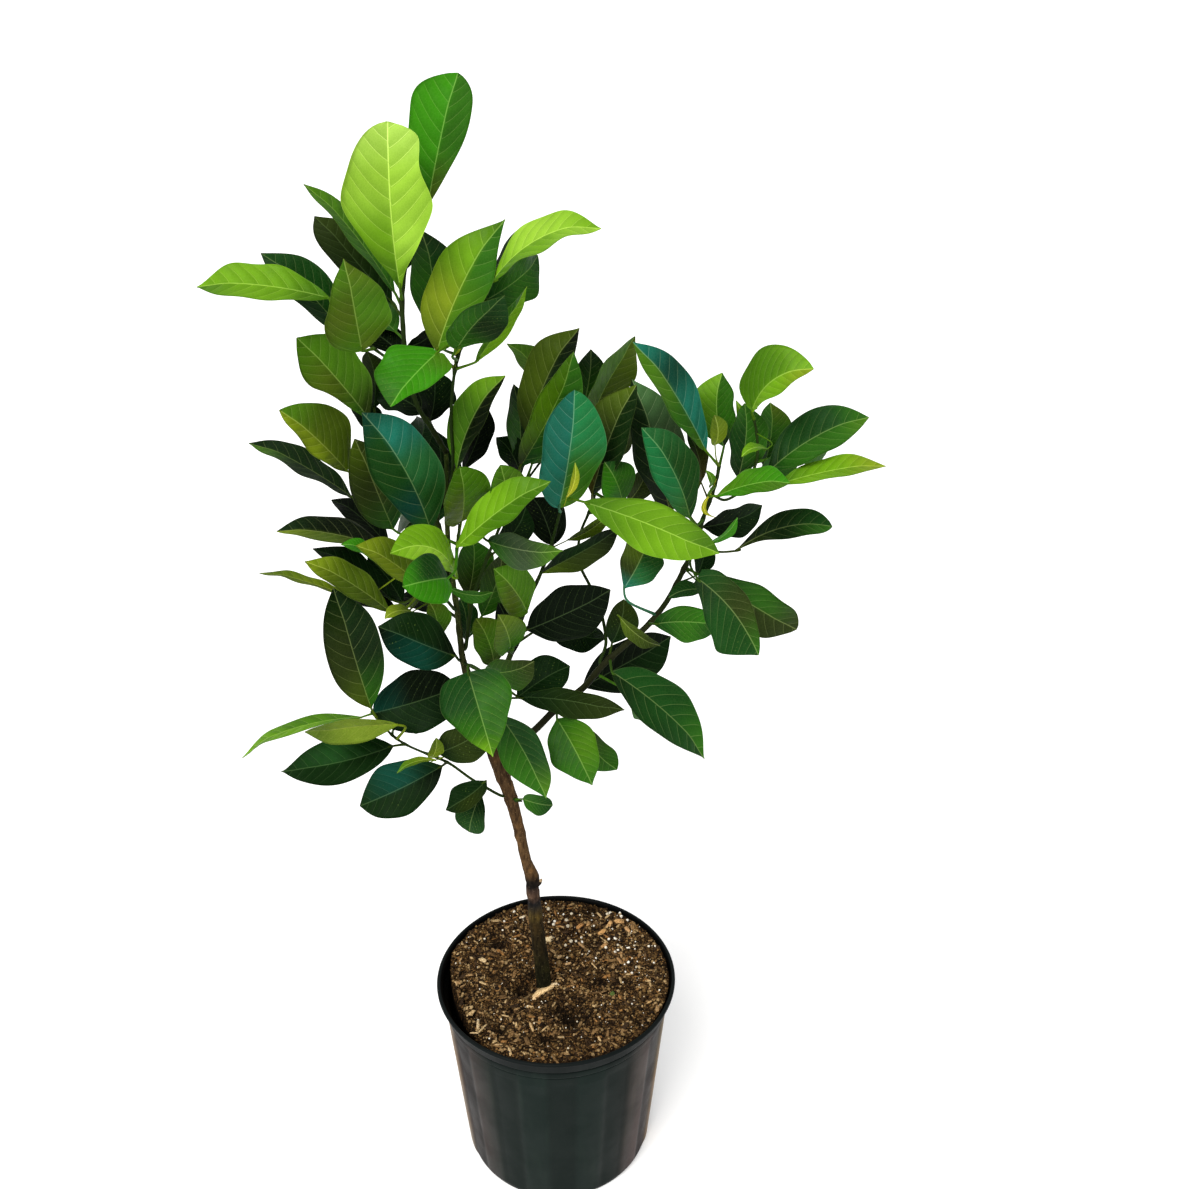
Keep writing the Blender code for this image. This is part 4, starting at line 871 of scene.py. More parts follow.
def under_face():
    """Underside of a blade: paler and duller, its veins raised."""
    mat, tree, shader = shader_tree("leaf_under")
    masks = vein_masks(tree)[0]
    patches = clouds(places(tree), 45.0)
    colour = mix(0.4, tone_of(tree), (0.10, 0.17, 0.03))
    colour = mix(ramp(patches, 0.3, 0.7, 0.0, 0.5), colour, tinted(colour, (0.6, 0.65, 0.5)))
    pale = mix(1.0, tinted(colour, (1.7, 1.5, 1.5)), (0.05, 0.05, 0.02), "ADD")
    colour = veined(colour, pale, masks, (0.18, 0.6, 0.95))
    finish(shader, colour, 0.55, 0.04, relief_of(masks, (0.3, 0.9, 1.0)), 0.6, 0.0006)
    return mat


def green_stem():
    """Skin of stems and petioles, finely streaked."""
    mat, tree, shader = shader_tree("leaf_stem")
    tone = tone_of(tree)
    streaks = clouds(places(tree, (1.0, 1.0, 0.25)), 420.0)
    colour = mix(ramp(streaks, 0.35, 0.7, 0.0, 0.5), tone, tinted(tone, (0.45, 0.4, 0.35)))
    finish(shader, colour, 0.6, 0.05, streaks, 0.4, 0.0005)
    return mat


def leaf_frame(one):
    """Base, tip and the directions along, across and out of the upper face of a leaf."""
    base = sight(one.base, one.depth)
    tip = sight(one.tip, one.depth + one.lean)
    along = (tip - base).normalized()
    look = (base + tip) / 2 - VIEW_PLACE
    towards = -(look - along * look.dot(along)).normalized()
    right = along.cross(towards)
    full = one.wide * cos(radians(one.fold)) * VIEW_FOCAL / look.dot(VIEW_AHEAD)
    turn = copysign(acos(min(1.0, abs(one.shown) / full)), one.shown)
    face = towards * cos(turn) + right * sin(turn)
    if one.under:
        face = -face
    return base, tip, along, right, face


def outline(form, share, u):
    """Half width of a blade over half its full width, at shares of its length and on either side."""
    if form in UNEVEN_OUTLINES:
        sides = []
        for knots in UNEVEN_OUTLINES[form]:
            route = smooth_route([Vector((*knot, 0.0)) for knot in knots], 6)
            sides.append(np.interp(share, [point.x for point in route], [point.y for point in route]))
        return np.where(u < 0, sides[0], sides[1])
    rise, fall, blunt = OUTLINES[form]
    peak = rise / (rise + fall)
    top = peak ** rise * (1 - peak) ** fall
    point = 1 - (1 - blunt) * np.exp(-(1 - share) / 0.08)
    return share ** rise * (1 - share) ** fall / top * point + 0 * u


def tone_field(names, share, u):
    """Tone over a blade: levels from the tip to the base, and its two halves, painting its light and shade
    with its colour.
    """
    levels = []
    for level in names.split(">")[::-1]:
        levels.append([np.array(TONES[name]) for name in (level.split("/") * 2)[:2]])
    levels = levels * 2 if len(levels) == 1 else levels
    place = share * (len(levels) - 1)
    side = smoothstep(-0.1, 0.1, u)[..., None]
    tone = 0.0
    for k, (left, right) in enumerate(levels):
        weight = smoothstep(0.0, 1.0, 1 - np.abs(place - k))[..., None]
        tone = tone + weight * (left * (1 - side) + right * side)
    return tone


def grid_faces(rows, columns, start=0, flip=False):
    faces = []
    for r in range(rows - 1):
        for c in range(columns - 1):
            a = start + r * columns + c
            quad = (a, a + 1, a + 1 + columns, a + columns)
            faces.append(quad[::-1] if flip else quad)
    return faces


def blade(work, one, draw):
    """Blade of a leaf: folded, arched, waved at its margin and quilted between its side veins."""
    base, tip, along, right, face = leaf_frame(one)
    length = (tip - base).length
    across = along.cross(face)
    bulge = np.array(face * one.arch + right * one.bow)
    base, along, across = np.array(base), np.array(along), np.array(across)
    rows = max(8, int(length / ROW_STEP))
    s = np.linspace(0.0, 1.0, rows)[:, None]
    u = np.array([-c for c in COLUMNS[::-1]] + [0.0] + list(COLUMNS))[None, :]
    columns = u.shape[1]
    midrib = base + along * (length * s) + bulge * (4 * s * (1 - s))
    way = along * length + bulge * (4 - 8 * s)
    way /= np.linalg.norm(way, axis=1, keepdims=True)
    side = across - way * (way @ across)[:, None]
    side /= np.linalg.norm(side, axis=1, keepdims=True)
    up = np.cross(side, way)
    starts = np.where(u < 0, draw.random(), draw.random())
    ragged = 1 + MARGIN_RAGGED * np.sin(2 * pi * (draw.uniform(1.6, 2.6) * s + starts))
    half = one.wide / 2 * outline(one.form, s, u) * ragged
    half = np.maximum(half, np.where(s > 0.5, TIP_HALF, PETIOLE_HALF))
    fold = radians(one.fold)
    reach = np.abs(u)
    inside = 1 - reach ** 4
    x = half * cos(fold) * u
    vein_run = s * length - VEIN_SLANT * np.abs(x) - VEIN_CURVE * x * x / one.wide
    phase = vein_run / max(VEIN_SPACING, length / VEIN_PAIRS) + np.where(u > 0, VEIN_STAGGER, 0.0)
    wave = one.wide * draw.uniform(*WAVE_SHARE)
    turns = draw.uniform(*WAVE_TURNS)
    left_start = draw.uniform(0, 2 * pi)
    start = np.where(u > 0, draw.uniform(0, 2 * pi), left_start)
    ripple = wave * reach ** 2.4 * np.sin(2 * pi * turns * s + start) * np.sqrt(s * (1 - s)) * 2
    quilt = QUILT_HEIGHT * (0.5 - 0.5 * np.cos(2 * pi * phase)) * inside * np.minimum(1, np.abs(x) / 4)
    tip_drop = -draw.uniform(*TIP_DROP) * smoothstep(0.72, 1.0, s) * (length / 100.0)
    lift = half * sin(fold) * reach ** 1.35 + ripple + quilt + tip_drop
    top = midrib[:, None, :] + side[:, None, :] * x[..., None] + up[:, None, :] * lift[..., None]
    keel = BLADE_THICK + MIDRIB_RELIEF * np.exp(-(x / MIDRIB_HALF) ** 2) * (1.1 - s)
    keel = keel + VEIN_RELIEF * np.exp(-((phase - np.round(phase)) / 0.09) ** 2) * inside
    keel = np.where(reach > 0.99, BLADE_THICK * 0.6, keel)
    below = top - up[:, None, :] * keel[..., None]

    tone = tone_field(one.tone, s + 0 * u, (-u if one.under else u) + 0 * s)
    tone = tone * (1 + draw.uniform(-0.05, 0.05))
    top_slot = SHADE if tone[..., 1].mean() < SHADE_TONE else UPPER
    grain = np.stack([x + 0 * s, s * length + 0 * u, phase], axis=-1).reshape(-1, 3).tolist()
    rim = (reach + 0 * s).ravel().tolist()
    count = rows * columns
    points = np.concatenate([top.reshape(-1, 3), below.reshape(-1, 3)])
    tones = np.concatenate([tone.reshape(-1, 3)] * 2)
    edge = [r * columns for r in range(rows)] + [(rows - 1) * columns + c for c in range(1, columns)]
    edge += [r * columns + columns - 1 for r in range(rows - 2, -1, -1)]
    edge += list(range(columns - 2, 0, -1))
    margin = [(a, b, b + count, a + count) for a, b in zip(edge, edge[1:] + edge[:1])]
    offset = len(work.points)
    work.add(points.tolist(), grid_faces(rows, columns, 0, True), top_slot, tones, grain * 2, rim * 2)
    rest = grid_faces(rows, columns, count) + margin
    work.faces.extend([tuple(offset + k for k in face) for face in rest])
    work.slots.extend([UNDER] * len(rest))


def stem_tone(radius):
    """Brown where a stem is thick, green where it is thin and young, both dark with painted shade."""
    age = smoothstep(1.7, 3.4, np.array(radius))
    return np.array(YOUNG_STEM) * (1 - age) + np.array(OLD_STEM) * age


def petiole(work, one, stem, stem_radii):
    """Round stalk of a leaf from the middle of the stem, where its foot is given, into its blade."""
    base, tip, along, right, face = leaf_frame(one)
    foot = nearest_on(stem, stem_radii, base - along * PETIOLE_RUN)[0]
    knots = [foot]
    if (base - foot).length > LONG_PETIOLE:
        knots.append((foot + base) / 4 + (base - along * PETIOLE_ELBOW) / 2)
    knots += [base, base + along * min(PETIOLE_IN_BLADE, (tip - base).length * 0.15) - face * 0.4]
    points = smooth_route(knots, 4)
    slim = min(1.0, one.wide / SLIM_WIDTH)
    radii = []
    for i in range(len(points)):
        share = i / (len(points) - 1)
        swell = PETIOLE_FOOT_SWELL * (1 - share) ** 5 + PETIOLE_BLADE_SWELL * share ** 4
        radii.append(slim * (PETIOLE_RADIUS + swell - PETIOLE_POINT * max(0, share - 0.9)))
    verts, faces = pipe(points, radii, 8)
    # The stalk takes the tone of the blade's base, painted shade included
    base_tone = TONES[one.tone.split(">")[-1].split("/")[0]]
    work.add(verts, faces, STEM, np.array(base_tone) * 0.75 + np.array(PETIOLE_GREEN) * 0.25)
    return foot


def stem_route(shoot, routes):
    """Stem's route and radii, from inside the piece that carries it."""
    knots = [sight(spot, depth) for spot, depth in shoot.stem]
    if shoot.parent.startswith(AT_TIP):
        knots[0] = routes[shoot.parent.removeprefix(AT_TIP)][0][-1]
        points = knots
    else:
        spot, way, radius = nearest_on(*routes[shoot.parent], knots[0])
        out = knots[1] - spot
        out = (out - way * out.dot(way)).normalized()
        points = [spot + out * radius * 0.4, spot + out * (radius + shoot.foot * 1.1)] + knots[1:]
    count = len(points) - 1
    radii = [shoot.foot + (shoot.end - shoot.foot) * i / count for i in range(count + 1)]
    return points, radii


def stem(work, points, radii, feet):
    """Stem with a ring swelling where each leaf stands."""
    route = smooth_route(points, CURVE_STEPS)
    sizes = spread(radii, CURVE_STEPS)
    for i, point in enumerate(route):
        for foot in feet:
            sizes[i] += NODE_SWELL * np.exp(-((point - foot).length / NODE_REACH) ** 2)
    sizes[0] += STEM_FOOT_SWELL
    verts, faces = pipe(route, sizes, STEM_SIDES)
    tones = [stem_tone(size) for size in sizes for _ in range(STEM_SIDES)] + [stem_tone(sizes[0])] * 2
    work.add(verts, faces, STEM, np.array(tones))


def foliage(materials):
    """Every leafy shoot as one piece in place of its node."""
    draw = random.Random(LEAF_SEED)
    routes = {"trunk": rows_of(SCION, 1)}
    for name, shoot in SHOOTS.items():
        points, radii = routes[name] = stem_route(shoot, routes)
        work = Patchwork()
        feet = []
        for one in shoot.leaves:
            blade(work, one, draw)
            feet.append(petiole(work, one, points, radii))
        stem(work, points, radii, feet)
        stand_in_for(work.build(name.replace("shoot_", "foliage_"), materials), "leaf", name)


# Trunk


def rows_of(rows, steps):
    """Smooth route and matching radii from rows of spot, depth and radius."""
    points = smooth_route([sight(spot, depth) for spot, depth, radius in rows], steps)
    return points, spread([radius for spot, depth, radius in rows], steps)


def bark():
    """Bark in its own tone with dark streaks, pale patches and flecks."""
    mat, tree, shader = shader_tree("bark")
    tone = tone_of(tree)
    streaks = clouds(places(tree, (1.0, 1.0, 0.22)), 330.0, 5.0, 0.65)
    patches = clouds(places(tree), 60.0, 4.0)
    colour = mix(ramp(streaks, 0.35, 0.62), tinted(tone, (0.35, 0.33, 0.32)), tone)
    colour = mix(ramp(patches, 0.52, 0.72, 0.0, 0.55), colour, tinted(tone, (2.1, 1.9, 1.5)))
    specks = cells(places(tree, (1.0, 1.0, 1.6)), 260.0)["Distance"]
    flecks = mix(1.0, tinted(tone, (1.8, 1.7, 1.5)), (0.05, 0.04, 0.025), "ADD")
    colour = mix(ramp(specks, 0.12, 0.22, 0.6, 0.0), colour, flecks)
    finish(shader, colour, 0.85, 0.07, streaks, 0.7, 0.001)
    return mat


def trunk(mat):
    """Rootstock, scion, the graft's torn end and a dead spur, fused and smoothed into one skin."""
    stock, stock_radii = rows_of(ROOTSTOCK, CURVE_STEPS)
    stock = [stock[0] - Vector((0, 0, down)) for down in ROOT_DEPTHS] + stock
    stock_radii = [ROOT_RADIUS, ROOTSTOCK[0][2] + 1.0] + stock_radii
    scion, scion_radii = rows_of(SCION, CURVE_STEPS)
    rings = [sight(spot, depth) for spot, depth in SCION_RINGS]
    for i, point in enumerate(scion):
        for ring in rings:
            swell = RING_SWELL + RING_SHARE * scion_radii[i]
            scion_radii[i] += swell * np.exp(-((point - ring).length / RING_REACH) ** 2)
    torn, torn_radii = rows_of(TORN_END, 1)
    spur, spur_radii = rows_of(DEAD_SPUR, 1)
    work = Patchwork()
    for route, radii, sides in ((stock, stock_radii, 20), (scion, scion_radii, 18),
                                (torn, torn_radii, 10), (spur, spur_radii, 10)):
        verts, faces = pipe(route, radii, sides)
        work.add(verts, faces, 0, TORN_TONE)
    obj = work.build("trunk_bark", [mat])
    skin = obj.modifiers.new("skin", "REMESH")
    skin.mode = "VOXEL"
    skin.voxel_size = BARK_GRID * MM
    graph = bpy.context.evaluated_depsgraph_get()
    fused = bpy.data.meshes.new_from_object(obj.evaluated_get(graph))
    obj.modifiers.clear()
    obj.data = fused
    body = bmesh.new()
    body.from_mesh(fused)
    for _ in range(3):
        bmesh.ops.smooth_vert(body, verts=body.verts, factor=0.5, use_axis_x=True, use_axis_y=True,
                              use_axis_z=True)
    body.normal_update()
    heights = [sight((532, down), -2).z for down, tone in TRUNK_TONES]
    colours = np.array([tone for down, tone in TRUNK_TONES])
    tones = []
    moves = []
    for vert in body.verts:
        spot = vert.co / MM
        rough = sum(share * noise.noise(Vector((spot.x * across, spot.y * across, spot.z * along)))
                    for across, along, share in BARK_GRAIN)
        fade = float(1 - smoothstep(*BARK_FADE, spot.z))
        moves.append(vert.normal * (BARK_ROUGHNESS * rough * fade * MM))
        if (spot - torn[-1]).length < TORN_REACH:
            tones.append(TORN_TONE)
        else:
            tones.append([np.interp(spot.z + 1.5 * rough, heights, colours[:, k]) for k in range(3)])
    for vert, move in zip(body.verts, moves):
        vert.co += move
    body.to_mesh(fused)
    body.free()
    plain_tone = fused.attributes.get("tone")
    if plain_tone is not None:
        fused.attributes.remove(plain_tone)
    mark_tone(fused, tones)
    fused.materials.clear()
    fused.materials.append(mat)
    fused.shade_smooth()
    stand_in_for(obj, "bark", "trunk")


# Pot


def pot_radius(height):
    return POT_FOOT_RADIUS + POT_TAPER * height


def rounded(profile, reach, steps=3):
    """Profile of (radius, height) with its corners rounded off."""
    out = [profile[0]]
    for before, corner, after in zip(profile, profile[1:], profile[2:]):
        a, b, c = (Vector(p) for p in (before, corner, after))
        cut = min(reach, (a - b).length * 0.45, (c - b).length * 0.45)
        start = b + (a - b).normalized() * cut
        end = b + (c - b).normalized() * cut
        for t in (step / steps for step in range(steps + 1)):
            point = start * (1 - t) ** 2 + b * (2 * t * (1 - t)) + end * t ** 2
            out.append((point.x, point.y))
    out.append(profile[-1])
    return out


def pot_profile():
    """Section as (radius, height), from the middle of the foot out and up, over the lip and down inside."""
    body = pot_radius(POT_BODY_TOP)
    sharp = [(0.0, 0.0), (POT_FOOT_RADIUS - 7.0, 0.0), (POT_FOOT_RADIUS - 1.6, 1.6)]
    sharp += [(pot_radius(height), height) for height in POT_BODY_HEIGHTS]
    sharp += [(body + out, height) for out, height in POT_STEP]
    sharp += [(body + POT_COLLAR_OUT + out, height) for out, height in POT_COLLAR]
    sharp += [(POT_RIM_RADIUS - inward, height) for inward, height in POT_LIP]
    sharp += POT_THROAT
    sharp += [(pot_radius(height) - POT_WALL - inward, height) for inward, height in POT_INSIDE]
    return rounded(sharp, POT_ROUNDING)


def flute(angle):
    """Panels out and in by turns, 1 on a raised one and -1 on a sunk one."""
    wave = np.sin((angle - POT_PANEL_EDGE) * POT_PANELS / 2)
    return np.clip(wave * 3.2, -1.0, 1.0)


def band(fades, value):
    """1 inside a band, 0 outside it, and smooth between."""
    rise_start, rise_end, fall_start, fall_end = fades
    return smoothstep(rise_start, rise_end, value) * (1 - smoothstep(fall_start, fall_end, value))


def pot_tones(angles):
    """Tone round the pot: green-black in front, with painted sheen to the sides, purplish and lighter on the
    ribs and brighter on one side, and strips of painted brownish grazing sheen near the edges.
    """
    away = np.abs((angles - POT_FRONT + pi) % (2 * pi) - pi)
    # Bands of painted sheen: purplish to the sides, and brownish grazing strips near the edges
    side = band(POT_SIDE_SHEEN_FADES, away)[:, None]
    dust_and_sheen = band(POT_GRAZING_SHEEN_FADES, away)[:, None]
    # Painted light: one side of the pot brighter than the other
    lit_side = (1 + 0.32 * np.sin(angles - POT_FRONT))[:, None]
    rib = (flute(angles) * 0.5 + 0.5)[:, None]
    # Painted sheen: raised ribs lighter, a little in front and more to the sides
    tone = np.array(POT_TONE) * (0.95 + 0.35 * rib)
    tone = tone * (1 - side) + np.array(POT_SIDE_SHEEN_TONE) * (0.36 + 1.1 * rib) * lit_side * side
    return tone * (1 - dust_and_sheen) + np.array(POT_GRAZING_SHEEN_TONE) * (0.5 + 0.9 * rib) * dust_and_sheen


def pot(mat):
    """Shell of the pot with its flutes, lip and grooves, open inside down to below the soil."""
    profile = pot_profile()
    angles = np.arange(POT_COLUMNS) * 2 * pi / POT_COLUMNS
    top_row = max(row for row, (radius, height) in enumerate(profile) if height > POT_HEIGHT - 0.05)
    round_tones = pot_tones(angles)
    rows = []
    tones = []
    inner = False
    for row, (radius, height) in enumerate(profile[1:], 1):
        inner = inner or height >= POT_HEIGHT - 0.01
        fluted = 0.0 if inner else POT_FLUTE_DEPTH * float(band(POT_FLUTE_FADES, height))
        reach = radius + fluted * flute(angles)
        rows.append(np.stack([reach * np.cos(angles), reach * np.sin(angles), np.full(POT_COLUMNS, height)],
                             axis=1))
        # Painted shade: the grooves, and the inside of the wall below the lip, are darkened
        groove = any(low < height < high for low, high in POT_GROOVES)
        shade = POT_GROOVE_SHADE if groove or row > top_row + 2 else 1.0
        rim = float(smoothstep(*POT_RIM_FADE, height))
        tones.append((round_tones * (1 - rim) + np.array(POT_RIM_TONE) * rim) * shade)
    verts = np.concatenate(rows).tolist()
    faces = ring_faces(len(rows), POT_COLUMNS)
    centre = len(verts)
    verts.append((0.0, 0.0, 0.0))
    for k in range(POT_COLUMNS):
        faces.append((centre, (k + 1) % POT_COLUMNS, k))
    raised = np.concatenate([np.tile(flute(angles) * 0.5 + 0.5, len(rows)), [0.5]])
    work = Patchwork()
    work.add(verts, faces, 0, np.concatenate(tones + [round_tones[:1]]), None, raised.tolist())
    stand_in_for(work.build("pot_shell", [mat]), "pot_plastic", "pot")


def black_plastic():
    """Dull black plastic in the tone given round the pot, greenish where sunk, with painted purplish sheen
    on the ribs to the sides, and a thin film of dried soil in lighter smears on the raised panels.
    """
    mat, tree, shader = shader_tree("pot_plastic")
    spot = places(tree)
    tone = tone_of(tree)
    patches = clouds(spot, 16.0, 3.0)
    smears = clouds(places(tree, (1.0, 1.0, 0.18)), 55.0, 5.0, 0.6)
    raised = attribute(tree, "rim")["Fac"]
    colour = mix(ramp(patches, 0.35, 0.7), tone, tinted(tone, (1.45, 1.25, 1.3)))
    dust_and_sheen = times(ramp(smears, 0.45, 0.75), ramp(raised, 0.3, 0.9, 0.1, 0.5))
    colour = mix(dust_and_sheen, colour, tinted(tone, (2.0, 1.8, 1.6)))
    specks = clouds(spot, 900.0, 1.0)
    colour = mix(ramp(specks, 0.76, 0.82, 0.0, 0.3), colour, (0.10, 0.085, 0.07))
    rubbed = clouds(spot, 26.0, 4.0)
    fine = clouds(spot, 700.0, 2.0)
    waves = clouds(places(tree, (1.0, 1.0, 0.3)), 22.0, 2.0)
    finish(shader, colour, ramp(rubbed, 0.3, 0.7, 0.40, 0.56), 0.045,
           plus(times(fine, 0.25), waves), 0.28, 0.0012)
    return mat


# Soil


def shrink_at(angle):
    """How far the soil has drawn back from the wall, 0 to 1, at an angle."""
    away = abs((angle - SOIL_SHRINK_ANGLE + pi) % (2 * pi) - pi)
    return max(0.0, cos(min(1.0, away / SOIL_SHRINK_SPREAD) * pi / 2))


def soil_height(x, y):
    """Uneven surface, a little higher at the wall where the mix still reaches it, with its hollows."""
    lumps = noise.noise(Vector((x, y, 0.0)) * 0.028) + 0.6 * noise.noise(Vector((x, y, 9.0)) * 0.075)
    away = sqrt(x * x + y * y) / 132.0
    bank = SOIL_BANK * away ** 3 * (1 - shrink_at(atan2(y, x)))
    hollow = sum(deep * hollow_share(x, y, spot, reach) for spot, reach, deep in SOIL_HOLLOWS)
    return SOIL_TOP + SOIL_ROUGHNESS * lumps + bank - hollow


def hollow_share(x, y, spot, reach):
    """Share of a hollow's depth at a place, 1 in its middle."""
    middle = on_soil(spot)
    return exp(-((x - middle.x) ** 2 + (y - middle.y) ** 2) / reach ** 2)


def on_soil(spot):
    """Place on the level of the soil that is seen at a spot."""
    near = sight(spot, 0)
    slope = (near.z - SOIL_TOP) / (VIEW_PLACE.z - near.z)
    return near + (near - VIEW_PLACE) * slope


def soil_edge(angle):
    return SOIL_REACH - SOIL_SHRINK_TOP * shrink_at(angle)


def surface(x, y):
    """Height of the crumbly surface at a place."""
    spot = Vector((x, y, 0.0))
    return soil_height(x, y) + sum(high * noise.noise(spot * fine) for high, fine in SOIL_LUMPS)


def hollow_shade_and_patches(x, y):
    """Share of darker mix at a place: painted shade in the hollows, and darker patches here and there; the
    shade beside the wall on the left is added where the bed is built.
    """
    share = sum(hollow_share(x, y, spot, reach) * min(1.0, deep / 6.0) for spot, reach, deep in SOIL_HOLLOWS)
    share += 0.75 * max(0.0, noise.noise(Vector((x, y, 3.0)) * 0.045))
    share += 0.5 * max(0.0, noise.noise(Vector((x, y, 7.0)) * 0.12))
    return min(1.0, share)


def ground(mat):
    """Bed of potting mix with a crumbly surface, up to the pot's rim except on the left, where it has drawn
    back from the wall and painted shade darkens its edge and the sides below.
    """
    verts = []
    tones = []
    angles = [2 * pi * k / SOIL_COLUMNS for k in range(SOIL_COLUMNS)]
    for share in np.linspace(0.0, 1.0, SOIL_RINGS)[1:]:
        for angle in angles:
            reach = soil_edge(angle) * share
            x, y = reach * cos(angle), reach * sin(angle)
            shrink = shrink_at(angle)
            drop = SOIL_DROP * shrink * max(0.0, share - SOIL_DROP_START) / (1 - SOIL_DROP_START)
            edge_drop = SOIL_EDGE_DROP * float(smoothstep(0.97, 1.0, share))
            verts.append((x, y, surface(x, y) - drop - edge_drop))
            # Painted shade in the hollows and at the edge where the soil has drawn back from the wall; darker
            # patches too
            dark = max(hollow_shade_and_patches(x, y), 0.8 * shrink * float(smoothstep(0.88, 1.0, share)))
            tones.append(np.array(MIX_TONE) * (1 - 0.86 * dark))
    # Rings down the soil's sides, near-black as painted shade in the gap by the wall
    for depth in SOIL_SIDE_DEPTHS:
        height = SOIL_TOP - depth
        for angle in angles:
            reach = min(soil_edge(angle), pot_radius(height) - POT_WALL - 0.8)
            verts.append((reach * cos(angle), reach * sin(angle), height))
            tones.append(np.array(MIX_TONE) * 0.1)
    rings = SOIL_RINGS - 1 + len(SOIL_SIDE_DEPTHS)
    faces = ring_faces(rings, SOIL_COLUMNS, inward=True)
    verts += [(0.0, 0.0, surface(0.0, 0.0)), (0.0, 0.0, SOIL_TOP - SOIL_SIDE_DEPTHS[-1])]
    tones += [np.array(MIX_TONE)] * 2
    last = (rings - 1) * SOIL_COLUMNS
    for k in range(SOIL_COLUMNS):
        after = (k + 1) % SOIL_COLUMNS
        faces.append((len(verts) - 2, k, after))
        faces.append((len(verts) - 1, last + after, last + k))
    work = Patchwork()
    work.add(verts, faces, 0, np.array(tones))
    stand_in_for(work.build("soil_bed", [mat]), "potting_mix", "soil")


def scatter(name, mat, put_one, count, seed, margin, placed=()):
    """One piece of loose bits at random places on the soil, and of chips with places of their own."""
    draw = random.Random(seed)
    work = Patchwork()
    for _ in range(count):
        angle = draw.uniform(0, 2 * pi)
        reach = (soil_edge(angle) - margin) * sqrt(draw.random())
        put_one(work, draw, reach * cos(angle), reach * sin(angle))
    for spot, turn, size, tone in placed:
        middle = on_soil(spot)
        centre = above_soil(middle.x, middle.y, size[2] * 0.5 + 0.6)
        add_sliver(work, draw, centre, size, radians(turn), tone)
    stand_in_for(work.build(name, [mat]), "potting_mix", "soil")


def above_soil(x, y, lift):
    return Vector((x, y, surface(x, y) + lift))


def shaded(tone, x, y):
    """Tone of a loose bit, darker where the mix is darker: painted shade in the hollows, and the darker
    patches.
    """
    return tuple(c * (1 - 0.72 * hollow_shade_and_patches(x, y)) for c in tone)


def add_sliver(work, draw, centre, size, turn, tone):
    """Splinter of wood or bark: a bent six-sided flake with uneven, pointed ends."""
    length, width, thick = size
    spin = Euler((draw.uniform(-0.5, 0.5), draw.uniform(-0.45, 0.45), turn)).to_matrix()
    corners = []
    for x, y in SLIVER_CORNERS:
        corners.append((length * x * draw.uniform(0.85, 1.1), width * y * draw.uniform(0.7, 1.15)))
    verts = []
    for level, grow in SLIVER_LEVELS:
        for x, y in corners:
            bend = -0.7 * thick * (2 * x / length) ** 2
            verts.append(tuple(centre + spin @ Vector((x * grow, y * grow, level * thick + bend))))
    faces = [tuple(range(5, -1, -1)), tuple(range(12, 18))] + ring_faces(3, 6)
    work.add(verts, faces, 0, tone)


def add_lump(work, draw, centre, size, tone, rough, flat):
    """Small grain: the hull of twelve corners moved at random."""
    corners = []
    for a in (-1, 1):
        for b in (-GOLDEN, GOLDEN):
            corners += [(0, a, b), (a, b, 0), (b, 0, a)]
    body = bmesh.new()
    for corner in corners:
        point = Vector(corner).normalized() * size * draw.uniform(1 - rough, 1 + rough)
        body.verts.new((point.x, point.y, point.z * flat))
    bmesh.ops.convex_hull(body, input=body.verts)
    body.verts.index_update()
    verts = [tuple(vert.co + centre) for vert in body.verts]
    faces = [tuple(vert.index for vert in face.verts) for face in body.faces]
    body.free()
    work.add(verts, faces, 0, tone)


def add_fibre(work, draw, centre, length, radius, tone):
    """Thin strand lying on the mix, nearly straight."""
    turn = draw.uniform(0, 2 * pi)
    way = Vector((cos(turn), sin(turn), draw.uniform(-0.12, 0.2)))
    side = Vector((-sin(turn), cos(turn), draw.uniform(-0.1, 0.3)))
    curl = draw.uniform(-0.14, 0.14) * length
    knots = [centre + way * (length * t) + side * (curl * 4 * (t + 0.5) * (0.5 - t))
             for t in (-0.5, -0.17, 0.17, 0.5)]
    points = smooth_route(knots, 2)
    radii = [radius * (1 - 0.6 * abs(2 * i / (len(points) - 1) - 1)) for i in range(len(points))]
    verts, faces = pipe(points, radii, 5)
    work.add(verts, faces, 0, tone)


def put_crumb(work, draw, x, y):
    """Crumb of composted bark or peat, none in the darkest places."""
    size = CRUMB_SIZES[0] + CRUMB_SIZES[1] * draw.random() ** FEW_LARGE
    tone = shaded(draw.choice(CRUMB_TONES), x, y)
    if hollow_shade_and_patches(x, y) <= DARKEST:
        add_lump(work, draw, above_soil(x, y, size * 0.2), size, tone, 0.35, 0.8)


def put_chip(work, draw, x, y):
    """Sliver of bark, none beside the trunk."""
    length = CHIP_LENGTHS[0] + CHIP_LENGTHS[1] * draw.random() ** FEW_LARGE
    width = draw.uniform(1.1, 1.9) + length * draw.uniform(0.08, 0.26)
    size = (length, width, draw.uniform(0.8, 1.7))
    if (Vector((x, y)) - sight(*ROOTSTOCK[0][:2]).xy).length > TRUNK_CLEARANCE:
        add_sliver(work, draw, above_soil(x, y, 0.8), size, draw.uniform(0, pi),
                   shaded(draw.choice(CHIP_TONES), x, y))


def put_strand(work, draw, x, y):
    """Strand of coir."""
    tone = shaded(draw.choice(CHIP_TONES), x, y)
    add_fibre(work, draw, above_soil(x, y, 0.9), draw.uniform(*FIBRE_LENGTH), draw.uniform(*FIBRE_RADIUS),
              tone)


